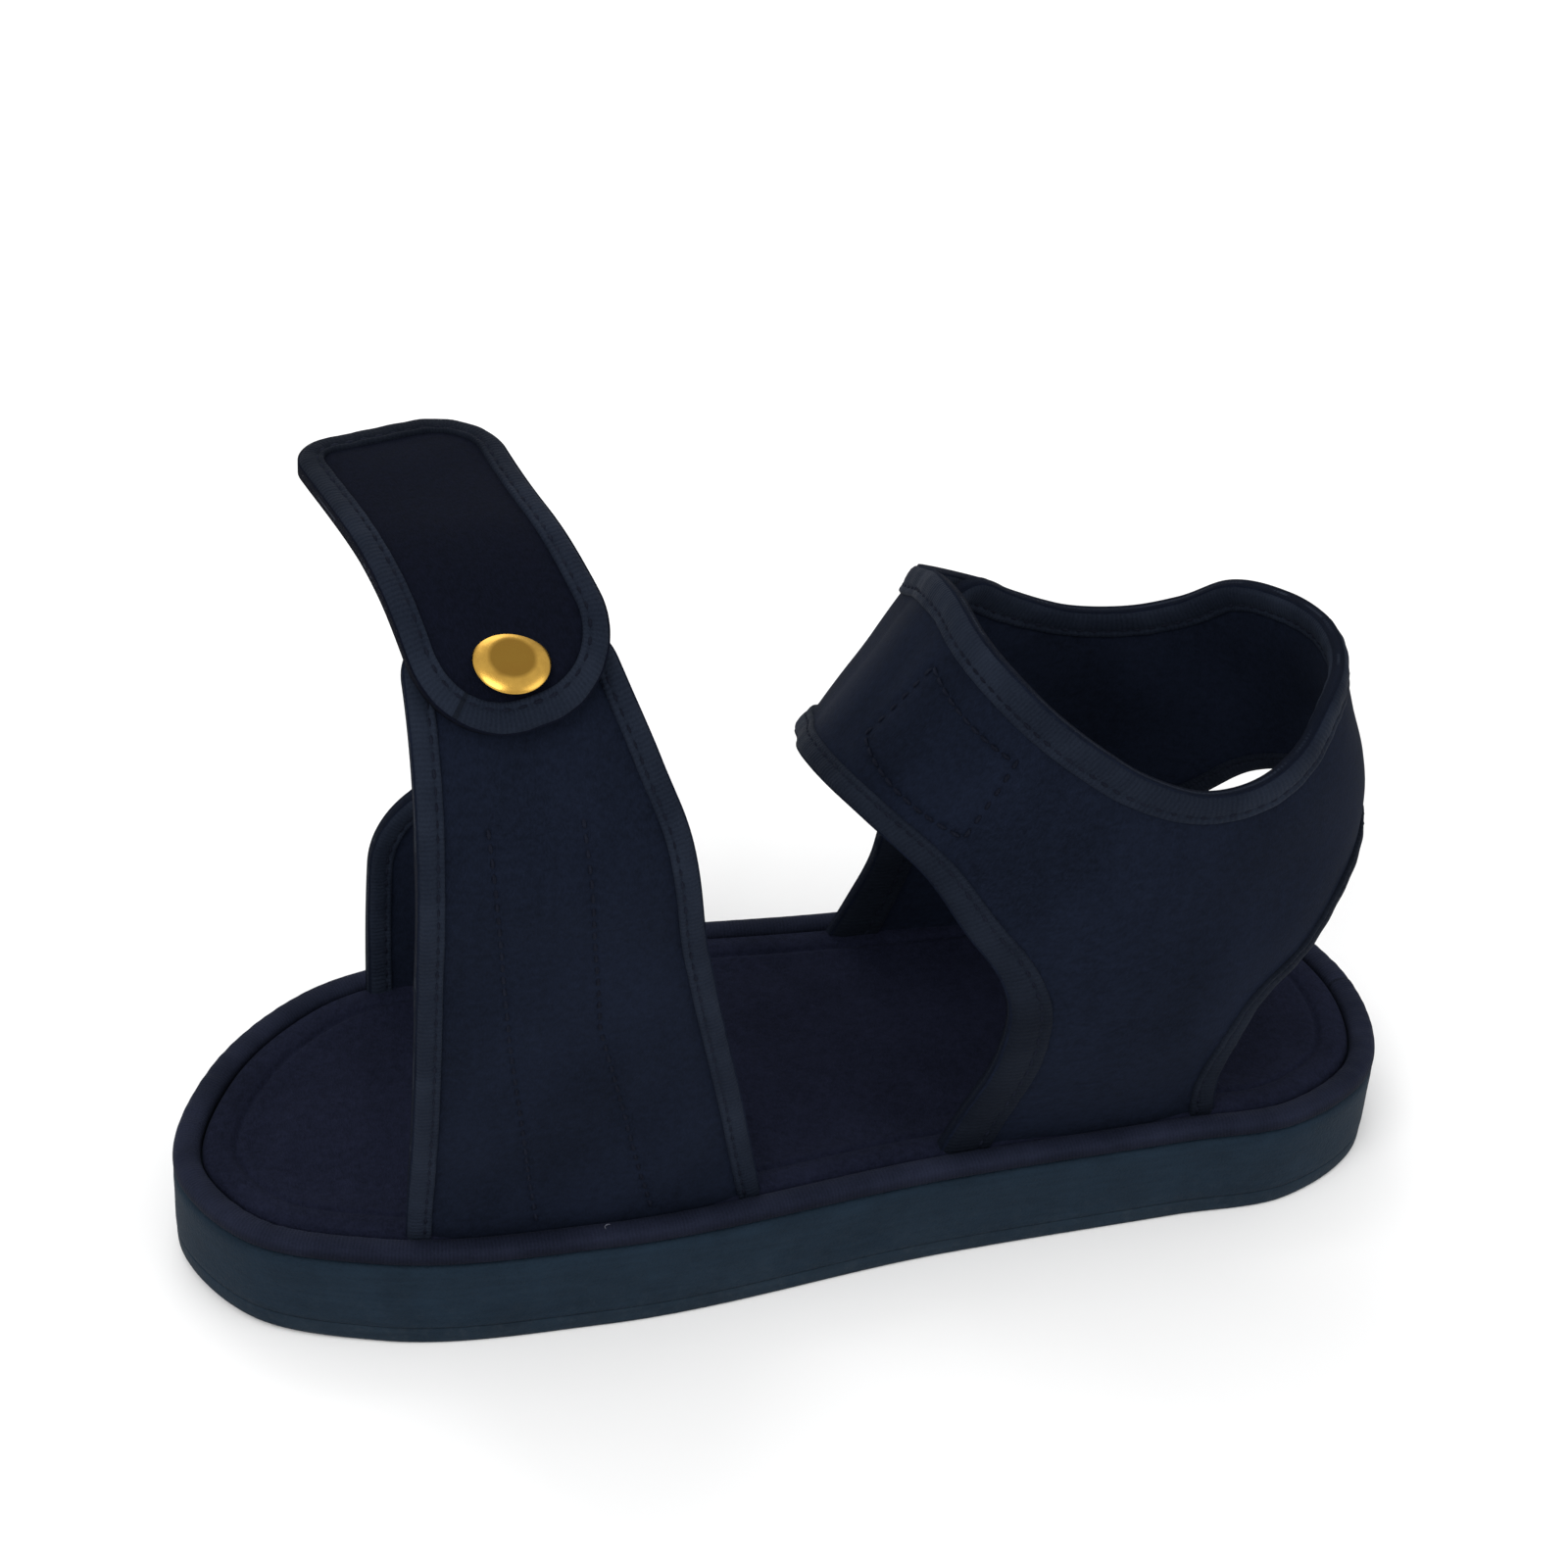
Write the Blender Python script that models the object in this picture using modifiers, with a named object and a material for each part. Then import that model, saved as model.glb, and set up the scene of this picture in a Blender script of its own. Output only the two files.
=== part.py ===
"""Open foot fracture sandal for the right foot, seen from its big toe side.

The origin is on the ground under the middle of the sole's length. +X points to the
toes, +Y to the big toe side and +Z up. All sizes are in metres.
"""
import math

import bmesh
import bpy
import numpy as np
from mathutils import Vector

# Sole
SOLE_LENGTH = 0.280
BALL_WIDTH = 0.1074
WAIST_WIDTH = 0.0984
HEEL_WIDTH = 0.0944
TOE_SHIFT = 0.0086
ARCH_BOW = 0.0041
OUTSOLE_THICK = 0.0045
MIDSOLE_THICK = 0.0166
TOE_SPRING = 0.0015
HEEL_SPRING = 0.0004
SOLE_EDGE = 0.0014
EDGE_STEP = 0.0005

# Footbed and the fabric roll round it
ROLL_WIDTH = 0.0060
ROLL_RISE = 0.0038
FOOTBED_THICK = 0.0028
FOOTBED_DISH = 0.0010

# Cloth laminate, its bound edges and the gap that touching pieces keep
WALL = 0.0034
BINDING_WIDTH = 0.0052
BINDING_RISE = 0.0005
GAP = 0.0003

# How high the flaps follow the sole's outline
FOOT_BLEND = 0.0700

# Forefoot flap on the big toe side, standing open with its top bent over
MEDIAL_FLAP_FRONT = 0.0964
MEDIAL_FLAP_BASE = 0.0769
MEDIAL_FLAP_LENGTH = 0.1520
MEDIAL_FLAP_CORNER = 0.0110
SNAP_RUN = 0.1410
SNAP_FROM_FRONT = 0.0197

# Forefoot flap on the little toe side
LATERAL_FLAP_FRONT = 0.0890
LATERAL_FLAP_BASE = 0.0650
LATERAL_FLAP_LENGTH = 0.0630
LATERAL_FLAP_CORNER = 0.0255

# Closing strap, which turns on the snap
STRAP_WIDTH = 0.0405
STRAP_END_WIDTH = 0.0375
STRAP_SHIFT = 0.0016
STRAP_TAIL = 0.0116
STRAP_REACH = 0.0690
STRAP_TILT = math.radians(12.0)
STRAP_CORNER = 0.0150
STRAP_ROUND = 0.90

# Snap fastener
CAP_DIAMETER = 0.0156
CAP_RISE = 0.0022
SHANK_DIAMETER = 0.0040
SOCKET_DIAMETER = 0.0110
SOCKET_RISE = 0.0022
SOCKET_CLEAR = 0.0009

# Ankle upper
COLLAR_HEIGHT = 0.1450
STRAP_END_TURN = 272.0
WING_END_TURN = 124.0
STRAP_END_CORNER = 0.0140
STRAP_OVER_WING = 0.0058
LIFT_START_TURN = 205.0
LIFT_END_TURN = 232.0
PATTERN_RADIUS = 0.0470

# Half outline of the sole: place along its length, half width as a share of one named width
OUTLINE = (
    ("heel", 0.035, 0.66),
    ("heel", 0.12, 0.97),
    ("heel", 0.22, 1.00),
    ("waist", 0.42, 1.00),
    ("ball", 0.70, 1.00),
    ("ball", 0.87, 0.86),
    ("ball", 0.96, 0.52),
)

# Cross-sections of the last: height as a share of the collar height, back, front and
# widest place as shares of the sole length, half width as a share of the heel width
LAST = (
    ("height", "back", "front", "middle", "half"),
    (0.15, 0.050, 0.800, 0.304, 0.415),
    (0.31, 0.055, 0.725, 0.293, 0.430),
    (0.52, 0.050, 0.600, 0.279, 0.436),
    (0.69, 0.066, 0.503, 0.264, 0.413),
    (0.77, 0.081, 0.466, 0.261, 0.402),
    (0.96, 0.104, 0.400, 0.257, 0.381),
    (1.14, 0.120, 0.347, 0.250, 0.371),
)

# Edges of the ankle upper: turn from the heel round the big toe side in degrees,
# height as a share of the collar height
REAR_EDGE = ((0, 0.552), (20, 0.538), (33, 0.505), (46, 0.430), (58, 0.376))
LEG_REAR = ((58, 0.376), (62, 0.310), (64, 0.245), (63, 0.145))
LEG_FRONT = ((104, 0.145), (104.5, 0.240), (105, 0.350), (107, 0.460))
FRONT_EDGE = ((107, 0.460), (111, 0.510), (118, 0.566), (133, 0.648), (154, 0.697),
              (180, 0.706), (209, 0.668), (236, 0.600), (272, 0.500))
TOP_EDGE = ((0, 0.880), (20, 0.872), (42, 0.850), (56, 0.800), (68, 0.775), (84, 0.775),
            (99, 0.812), (110, 0.850), (124, 0.893), (140, 0.934), (159, 0.966),
            (180, 0.984), (194, 0.975), (209, 0.950), (236, 0.880), (272, 0.770))

# Section of the roll: share of its width inward from the sole's outline, share of its rise
ROLL_PROFILE = ((0.06, 0.0), (0.0, 0.28), (0.02, 0.62), (0.14, 0.88), (0.38, 1.0),
                (0.68, 0.96), (0.90, 0.76), (1.0, 0.45), (0.96, 0.0))

# Edges of the flaps: share of the flap's length, how far its front and rear edges have
# moved forward there as shares of its base
MEDIAL_FLAP_EDGES = (
    (0.00, 0.000, 0.000),
    (0.26, 0.000, 0.121),
    (0.51, 0.002, 0.243),
    (0.71, 0.002, 0.317),
    (0.80, 0.001, 0.380),
    (0.89, 0.000, 0.441),
    (1.00, 0.000, 0.500),
)
LATERAL_FLAP_EDGES = (
    (0.00, 0.000, 0.000),
    (0.50, -0.008, 0.050),
    (1.00, -0.030, 0.120),
)

# How the flaps bend over the foot: share of the run to the snap, or of the lateral
# flap's length, and lean there in degrees, positive toward the foot
MEDIAL_BEND = ((0.0, 0.0), (0.03, 0.0), (0.10, -8.0), (0.35, -5.0), (0.70, 0.0), (0.85, 20.0),
               (1.0, 45.0), (1.12, 72.0), (1.24, 86.0), (1.50, 82.0), (2.0, 82.0))
LATERAL_BEND = ((0.0, 0.0), (0.5, 4.0), (1.0, 12.0))

# Counts of facets
HALF_OUTLINE = 34
ACROSS = 6
ARC = 4
TURN_STEPS = 28
SLOT_STEPS = 16
BEND_STEPS = 400
BEND_LEAD = 0.0010
STEP = 1.0e-5
NUDGES = np.array([(a, b, c) for a in (-1, 1) for b in (-1, 1) for c in (-1, 1)]) / 4

SOLE_TOP = OUTSOLE_THICK + GAP + MIDSOLE_THICK
SEAT = SOLE_TOP + GAP
FLAP_INSET = ROLL_WIDTH + GAP + WALL / 2 + BINDING_RISE
STRAP_LIFT = WALL + 2 * BINDING_RISE + GAP
CONIC_WEIGHT = math.sqrt(0.5)


def smooth(table_x, table_y, x):
    """Cubic curve through the points of a table, level in slope with its neighbours."""
    table_x = np.asarray(table_x, float)
    table_y = np.asarray(table_y, float)
    x = np.clip(np.asarray(x, float), table_x[0], table_x[-1])
    slope = np.gradient(table_y, table_x)
    i = np.clip(np.searchsorted(table_x, x, side="right") - 1, 0, len(table_x) - 2)
    width = table_x[i + 1] - table_x[i]
    t = (x - table_x[i]) / width
    start = (1 + 2 * t) * (1 - t) ** 2 * table_y[i] + t * (1 - t) ** 2 * width * slope[i]
    end = t * t * (3 - 2 * t) * table_y[i + 1] + t * t * (t - 1) * width * slope[i + 1]
    return start + end


def chain(points, count):
    """Points spaced evenly along a smooth curve through the given ones."""
    points = np.asarray(points, float)
    along = np.r_[0.0, np.cumsum(np.hypot(*np.diff(points, axis=0).T))]
    fine = np.linspace(0.0, along[-1], 40 * len(points))
    curve = np.stack([smooth(along, points[:, 0], fine), smooth(along, points[:, 1], fine)], 1)
    return spaced(curve, count)


def spaced(points, count):
    """The same line with count + 1 points at even distances."""
    along = np.r_[0.0, np.cumsum(np.hypot(*np.diff(points, axis=0).T))]
    at = np.linspace(0.0, along[-1], count + 1)
    return np.stack([np.interp(at, along, points[:, k]) for k in (0, 1)], 1)


def conic(start, corner, end, count):
    """A rounded corner, a quarter circle where the corner is square."""
    t = np.linspace(0.0, 1.0, count + 1)[:, None]
    weights = (1 - t) ** 2, 2 * t * (1 - t) * CONIC_WEIGHT, t ** 2
    total = weights[0] + weights[1] + weights[2]
    return (weights[0] * start + weights[1] * corner + weights[2] * end) / total


def toward(start, end, distance):
    """The point at a distance from start on the way to end."""
    way = np.asarray(end, float) - start
    return start + way / np.hypot(*way) * distance


def inward(path, distance, closed=False):
    """A path moved sideways to its left."""
    if closed:
        along = np.roll(path, -1, axis=0) - np.roll(path, 1, axis=0)
    else:
        along = np.gradient(path, axis=0)
    along = along / np.hypot(along[:, 0], along[:, 1])[:, None]
    return path + distance * np.stack([-along[:, 1], along[:, 0]], 1)


def fill(bottom, right, top, left):
    """Grid between four sides, each blended to the one that faces it."""
    u = np.linspace(0.0, 1.0, len(bottom))[None, :, None]
    v = np.linspace(0.0, 1.0, len(left))[:, None, None]
    sides = (1 - v) * bottom[None] + v * top[None] + (1 - u) * left[:, None] + u * right[:, None]
    ends = (1 - u) * (1 - v) * bottom[0] + u * (1 - v) * bottom[-1]
    ends = ends + (1 - u) * v * top[0] + u * v * top[-1]
    return sides - ends


def material(name, colour, roughness, metallic=0.0):
    """Principled material with one colour."""
    made = bpy.data.materials.new(name)
    made.use_nodes = True
    shader = made.node_tree.nodes["Principled BSDF"]
    shader.inputs["Base Color"].default_value = (*colour, 1.0)
    shader.inputs["Roughness"].default_value = roughness
    shader.inputs["Metallic"].default_value = metallic
    made.diffuse_color = (*colour, 1.0)
    return made


def add_object(name, bm, surface, home):
    """Object with a closed mesh, its faces pointing out."""
    bmesh.ops.recalc_face_normals(bm, faces=bm.faces)
    mesh = bpy.data.meshes.new(name)
    bm.to_mesh(mesh)
    bm.free()
    made = bpy.data.objects.new(name, mesh)
    home.objects.link(made)
    if surface:
        mesh.materials.append(surface)
        mesh.shade_smooth()
        mesh.set_sharp_from_angle(angle=math.radians(40))
    return made


def outline():
    """Closed outline of the sole: heel point, big toe side, toe point, little toe side."""
    halves = {"heel": HEEL_WIDTH / 2, "waist": WAIST_WIDTH / 2, "ball": BALL_WIDTH / 2}
    medial = [(0.0, 0.0)]
    lateral = []
    for kind, place, share in OUTLINE:
        middle = -ARCH_BOW * math.sin(math.pi * place)
        toe = TOE_SHIFT / 2 if place > 0.9 else 0.0
        half = halves[kind] * share
        medial.append((place * SOLE_LENGTH, middle + toe + half))
        lateral.append((place * SOLE_LENGTH, middle + toe - half))
    ring = np.array(medial + [(SOLE_LENGTH, TOE_SHIFT)] + lateral[::-1])
    ring[:, 0] -= SOLE_LENGTH / 2
    wrapped = np.r_[ring[-3:], ring, ring[:4]]
    along = np.r_[0.0, np.cumsum(np.hypot(*np.diff(wrapped, axis=0).T))]
    heel, toe, heel_again = along[3], along[3 + len(medial)], along[3 + len(ring)]
    at = np.r_[np.linspace(heel, toe, HALF_OUTLINE, endpoint=False),
               np.linspace(toe, heel_again, HALF_OUTLINE, endpoint=False)]
    return np.stack([smooth(along, wrapped[:, 0], at), smooth(along, wrapped[:, 1], at)], 1)


RING = outline()


def inset(distance):
    """The sole's outline moved inward."""
    return inward(RING[::-1], distance, closed=True)[::-1]


def seat_y(x, side, distance=FLAP_INSET):
    """Place across the sole of a line at a distance inside its outline."""
    ring = inset(distance)
    half = ring[:HALF_OUTLINE + 1] if side > 0 else np.r_[ring[HALF_OUTLINE:], ring[:1]][::-1]
    order = np.argsort(half[:, 0])
    return np.interp(x, half[order, 0], half[order, 1])


def spring(x):
    """Lift of the sole's underside at the toe tip and at the back of the heel."""
    share = (np.asarray(x) + SOLE_LENGTH / 2) / SOLE_LENGTH
    toe = np.clip((share - 0.80) / 0.20, 0.0, 1.0) ** 2
    heel = np.clip((0.07 - share) / 0.07, 0.0, 1.0) ** 2
    return TOE_SPRING * toe + HEEL_SPRING * heel


def stacked(name, layers, surface, home, dish=0.0):
    """Solid between rings of the sole's outline; each layer is inset, height, lift."""
    bm = bmesh.new()
    rings = []
    for distance, height, lift in layers:
        ring = inset(distance)
        z = height + lift * spring(ring[:, 0])
        rings.append([bm.verts.new((x, y, h)) for (x, y), h in zip(ring, z)])
    count = len(rings[0])
    for lower, upper in zip(rings, rings[1:]):
        for i in range(count):
            j = (i + 1) % count
            bm.faces.new((lower[i], lower[j], upper[j], upper[i]))
    cover(bm, rings[0], 0.0, down=True)
    cover(bm, rings[-1], dish, down=False)
    return add_object(name, bm, surface, home)


def cover(bm, ring, dish, down):
    """Close a ring with rows that run across it from side to side."""
    half = len(ring) // 2
    rows = [[ring[0]]]
    for i in range(1, half):
        a, b = ring[i].co.copy(), ring[-i].co.copy()
        row = [ring[i]]
        for k in range(1, ACROSS):
            share = k / ACROSS
            place = a.lerp(b, share)
            place.z -= dish * (1 - (2 * share - 1) ** 4) * min(1.0, i / 4, (half - i) / 4)
            row.append(bm.verts.new(place))
        rows.append(row + [ring[-i]])
    rows.append([ring[half]])
    for low, high in zip(rows, rows[1:]):
        for k in range(ACROSS):
            face = [low[min(k, len(low) - 1)], low[min(k + 1, len(low) - 1)],
                    high[min(k + 1, len(high) - 1)], high[min(k, len(high) - 1)]]
            face = list(dict.fromkeys(face))
            bm.faces.new(face if not down else face[::-1])


def turned_roll(name, profile, surface, home):
    """Closed ring whose profile, inset and height, runs round the sole's outline."""
    bm = bmesh.new()
    rings = []
    for distance, height in profile:
        rings.append([bm.verts.new((x, y, height)) for x, y in inset(distance)])
    count = len(rings[0])
    for k in range(len(rings)):
        first, second = rings[k], rings[(k + 1) % len(rings)]
        for i in range(count):
            j = (i + 1) % count
            bm.faces.new((first[i], first[j], second[j], second[i]))
    return add_object(name, bm, surface, home)


class Sheet:
    """A cloth sheet as a net of four-sided cells on a surface, some of them bound."""

    def __init__(self, surface, sign=1.0):
        self.surface = surface
        self.sign = sign
        self.index = {}
        self.places = []
        self.normals = []
        self.cells = []

    def grid(self, pattern, bound):
        """Add a grid of pattern points, on the surface, as plain or bound cells."""
        place = self.surface(pattern)
        normal = surface_normal(self.surface, pattern) * self.sign
        rows, columns = pattern.shape[:2]
        numbers = [[self.number(place[r, c], normal[r, c]) for c in range(columns)]
                   for r in range(rows)]
        for r in range(rows - 1):
            for c in range(columns - 1):
                cell = [numbers[r][c], numbers[r][c + 1], numbers[r + 1][c + 1], numbers[r + 1][c]]
                cell = list(dict.fromkeys(cell))
                if len(cell) > 2:
                    self.cells.append((self.facing(cell), bound))

    def number(self, place, normal):
        """Number of a point, the same for points that lie together."""
        spots = {tuple(np.round(place / STEP + nudge).astype(int)) for nudge in NUDGES}
        for spot in spots:
            if spot in self.index:
                return self.index[spot]
        for spot in spots:
            self.index[spot] = len(self.places)
        self.places.append(place)
        self.normals.append(normal)
        return len(self.places) - 1

    def facing(self, cell):
        """A cell's points in the order that turns its face to the outer side."""
        a, b, c = (self.places[k] for k in (cell[0], cell[1], cell[2]))
        d = self.places[cell[-1]]
        across = np.cross(c - a, d - b) if len(cell) == 4 else np.cross(b - a, c - a)
        return cell if across @ self.normals[cell[0]] > 0 else cell[::-1]

    def solid(self, name, material_used, home):
        """Closed solid with a step at the bound edges, on both faces."""
        bm = bmesh.new()
        made = {}
        reach = (WALL / 2, WALL / 2 + BINDING_RISE)
        kinds = {}
        for cell, bound in self.cells:
            for k in cell:
                kinds.setdefault(k, set()).add(bound)

        def vert(k, height):
            key = k, round(height * 1.0e7)
            if key not in made:
                made[key] = bm.verts.new(self.places[k] + self.normals[k] * height)
            return made[key]

        def stack(k, top, bottom):
            levels = {top, bottom}
            for kind in kinds[k]:
                levels.update(h for h in (reach[kind], -reach[kind]) if bottom < h < top)
            return [vert(k, h) for h in sorted(levels, reverse=True)]

        def wall(first, second):
            i = j = 0
            while i < len(first) - 1 or j < len(second) - 1:
                if j >= len(second) - 1 or (i < len(first) - 1 and i <= j):
                    bm.faces.new((second[j], first[i], first[i + 1]))
                    i += 1
                else:
                    bm.faces.new((second[j], first[i], second[j + 1]))
                    j += 1

        edges = {}
        for cell, bound in self.cells:
            height = reach[bound]
            bm.faces.new([vert(k, height) for k in cell])
            bm.faces.new([vert(k, -height) for k in cell[::-1]])
            for a, b in zip(cell, cell[1:] + cell[:1]):
                edges.setdefault(frozenset((a, b)), []).append((a, b, bound))
        for sides in edges.values():
            a, b, bound = sides[0]
            if len(sides) == 1:
                wall(stack(a, reach[bound], -reach[bound]), stack(b, reach[bound], -reach[bound]))
            elif sides[1][2] != bound:
                high, low = max(reach), min(reach)
                wall(stack(a, high, low), stack(b, high, low))
                wall(stack(a, -low, -high), stack(b, -low, -high))
        bmesh.ops.triangulate(bm, faces=bm.faces)
        return add_object(name, bm, material_used, home)


def surface_normal(surface, pattern):
    """Normal of a surface, from places a small step apart."""
    right = surface(pattern + (STEP, 0.0)) - surface(pattern - (STEP, 0.0))
    up = surface(pattern + (0.0, STEP)) - surface(pattern - (0.0, STEP))
    normal = np.cross(right, up)
    return normal / np.linalg.norm(normal, axis=-1, keepdims=True)


def bound_panel(sheet, sides, footed):
    """Cells of a four-sided panel bound round its edge, except along a foot."""
    bottom, right, top, left = sides
    if footed:
        path = np.r_[right, top[::-1][1:], left[::-1][1:]]
        inner = inward(path, BINDING_WIDTH)
        inner[0, 1] = inner[-1, 1] = bottom[0, 1]
    else:
        path = np.r_[bottom, right[1:], top[::-1][1:], left[::-1][1:-1]]
        inner = inward(path, BINDING_WIDTH, closed=True)
        path = np.r_[path, path[:1]]
        inner = np.r_[inner, inner[:1]]
    sheet.grid(np.stack([path, inner]), bound=True)
    start = 0 if footed else len(bottom) - 1
    a, b, c = start, start + len(right) - 1, start + len(right) + len(top) - 2
    inner_right, inner_top, inner_left = inner[a:b + 1], inner[b:c + 1][::-1], inner[c:][::-1]
    if footed:
        inner_bottom = np.linspace(inner_left[0], inner_right[0], len(bottom))
    else:
        inner_bottom = inner[:a + 1]
    sheet.grid(fill(inner_bottom, inner_right, inner_top, inner_left), bound=False)


def rounded_sides(right_edge, left_edge, corners, across, rise):
    """Four sides of a panel from its two edges, which run upward, with rounded corners.

    corners holds the radius at the bottom, or nothing where it stands on a foot, and
    the radius at the top. The sides meet in the middle of each corner.
    """
    low, high = corners
    arcs, runs = {}, {}
    for name, edge, other in (("right", right_edge, left_edge), ("left", left_edge, right_edge)):
        run = cut_back(edge, high)
        arcs[name, "high"] = conic(run[-1], edge[-1], toward(edge[-1], other[-1], high), 2 * ARC)
        if low:
            run = cut_back(run[::-1], low)[::-1]
            arcs[name, "low"] = conic(toward(edge[0], other[0], low), edge[0], run[0], 2 * ARC)
        runs[name] = spaced(run, rise)
    top = joined(arcs["left", "high"][ARC:], arcs["right", "high"][ARC:][::-1], across)
    if low:
        bottom = joined(arcs["left", "low"][:ARC + 1][::-1], arcs["right", "low"][:ARC + 1], across)
    else:
        bottom = spaced(np.array([left_edge[0], right_edge[0]]), len(top) - 1)
    sides = {}
    for name in ("left", "right"):
        foot = arcs[name, "low"][ARC:-1] if low else np.empty((0, 2))
        sides[name] = np.r_[foot, runs[name], arcs[name, "high"][1:ARC + 1]]
    return bottom, sides["right"], top, sides["left"]


def joined(first, second, count):
    """Two corner arcs with a straight run of a number of steps between them."""
    return np.r_[first, spaced(np.array([first[-1], second[0]]), count)[1:-1], second]


def cut_back(path, distance):
    """A path that stops at a distance before its last point."""
    along = np.r_[0.0, np.cumsum(np.hypot(*np.diff(path, axis=0).T))]
    at = np.r_[along[along < along[-1] - distance], along[-1] - distance]
    return np.stack([np.interp(at, along, path[:, k]) for k in (0, 1)], 1)


def profile(bend, run, length):
    """Distance moved away from the foot, rise and lean at lengths along a bent flap."""
    rows = np.array(bend)
    at = np.linspace(-BEND_LEAD, rows[-1, 0] * run, BEND_STEPS)
    lean = np.radians(smooth(rows[:, 0] * run, rows[:, 1], at))
    half = np.diff(at) / 2
    away = np.r_[0.0, np.cumsum(-(np.sin(lean[1:]) + np.sin(lean[:-1])) * half)]
    rise = np.r_[0.0, np.cumsum((np.cos(lean[1:]) + np.cos(lean[:-1])) * half)]
    rise = rise - np.interp(0.0, at, rise)
    return np.interp(length, at, away), np.interp(length, at, rise), np.interp(length, at, lean)


def flap_surface(side, middle, bend, run):
    """Surface of a forefoot flap, at places along the shoe and lengths up the flap.

    It follows the sole's outline at its foot and is bent about lines along X above.
    """
    reference = abs(float(seat_y(middle, side)))

    def surface(pattern):
        x, length = pattern[..., 0], pattern[..., 1]
        away, rise, lean = profile(bend, run, length)
        fade = np.clip(1.0 - rise / FOOT_BLEND, 0.0, 1.0) ** 2
        y = reference + away + (np.abs(seat_y(x, side)) - reference) * fade
        return np.stack([x, side * y, SEAT + rise], -1)

    return surface


def outward(surface, side):
    """The same surface drawn so that its normal points away from the foot."""
    def mirrored(pattern):
        return surface(pattern * (-side, 1.0))

    return mirrored


def flap(name, side, front, base, length, corner, table, bend, run, surface_material, home):
    """Forefoot flap, one sheet bound at its front, top and rear edges."""
    surface = outward(flap_surface(side, front - base / 2, bend, run), side)
    rows = np.array(table)
    along = rows[:, 0] * length
    front_edge = chain(np.stack([-side * (front + rows[:, 1] * base), along], 1), 40)
    rear_edge = chain(np.stack([-side * (front - base + rows[:, 2] * base), along], 1), 40)
    right, left = (rear_edge, front_edge) if side > 0 else (front_edge, rear_edge)
    sheet = Sheet(surface)
    bound_panel(sheet, rounded_sides(right, left, (None, corner), 4, 12), footed=True)
    return sheet.solid(name, surface_material, home)


def medial_surface():
    """Middle surface of the medial flap, which the strap and the snap follow."""
    return flap_surface(1, MEDIAL_FLAP_FRONT - MEDIAL_FLAP_BASE / 2, MEDIAL_BEND, SNAP_RUN)


def snap_frame():
    """Place of the snap on the medial flap's middle surface, and its outward axis."""
    surface = medial_surface()
    at = np.array([MEDIAL_FLAP_FRONT - SNAP_FROM_FRONT, SNAP_RUN])
    return surface(at), -surface_normal(surface, at)


def strap_surface(pattern):
    """Middle surface of the closing strap, which rides over the flap and turns on the snap."""
    surface = medial_surface()
    across, along = -pattern[..., 0], pattern[..., 1]
    x = across * math.cos(STRAP_TILT) + along * math.sin(STRAP_TILT)
    length = along * math.cos(STRAP_TILT) - across * math.sin(STRAP_TILT)
    at = np.stack([MEDIAL_FLAP_FRONT - SNAP_FROM_FRONT + x, SNAP_RUN + length], -1)
    return surface(at) - surface_normal(surface, at) * STRAP_LIFT


def closing_strap(surface_material, home):
    """Closing strap with a round tail and a blunt rounded end."""
    half = np.linspace(STRAP_WIDTH, STRAP_END_WIDTH, 40) / 2
    along = np.linspace(-STRAP_TAIL, STRAP_REACH, 40)
    left = np.stack([STRAP_SHIFT - half, along], 1)
    right = np.stack([STRAP_SHIFT + half, along], 1)
    sheet = Sheet(strap_surface)
    corners = (half[0] * STRAP_ROUND, STRAP_CORNER)
    bound_panel(sheet, rounded_sides(right, left, corners, 4, 8), footed=False)
    return sheet.solid("closing_strap", surface_material, home)


def last_surface(pattern, lift=None):
    """Middle surface of the ankle upper; pattern is turn times radius, and height."""
    rows = np.array(LAST[1:])
    turn = pattern[..., 0] / PATTERN_RADIUS
    share = pattern[..., 1] / COLLAR_HEIGHT
    back, front, middle = (smooth(rows[:, 0], rows[:, k], share) * SOLE_LENGTH for k in (1, 2, 3))
    half = smooth(rows[:, 0], rows[:, 4], share) * HEEL_WIDTH + WALL / 2
    ahead = -np.cos(turn)
    reach = np.where(ahead > 0, front - middle, middle - back) + WALL / 2
    extra = 0.0 if lift is None else lift(turn)
    x = middle - SOLE_LENGTH / 2 + (reach + extra) * ahead
    y = (half + extra) * np.sin(turn)
    z = pattern[..., 1]
    join = LEG_REAR[0][1] * COLLAR_HEIGHT
    fade = np.clip((join - z) / (join - SEAT), 0.0, 1.0)
    fade = fade * fade * (3 - 2 * fade)
    seat = np.where(y > 0, seat_y(x, 1), seat_y(x, -1))
    return np.stack([x, y + (seat - y) * fade, z], -1)


def strap_lift(turn):
    """How far the instep strap rides over the wing that it closes on."""
    start, end = math.radians(LIFT_START_TURN), math.radians(LIFT_END_TURN)
    share = np.clip((turn - start) / (end - start), 0.0, 1.0)
    return STRAP_OVER_WING * share * share * (3 - 2 * share)


def until(table, turn):
    """An edge's rows up to a turn, with a last row at that turn."""
    rows = np.array(table, float)
    kept = rows[rows[:, 0] < turn - 4.0]
    return np.r_[kept, [[turn, np.interp(turn, rows[:, 0], rows[:, 1])]]]


def ankle_pattern(rows):
    """Edge rows as pattern points."""
    rows = np.array(rows, float)
    return np.stack([np.radians(rows[:, 0]) * PATTERN_RADIUS, rows[:, 1] * COLLAR_HEIGHT], 1)


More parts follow.
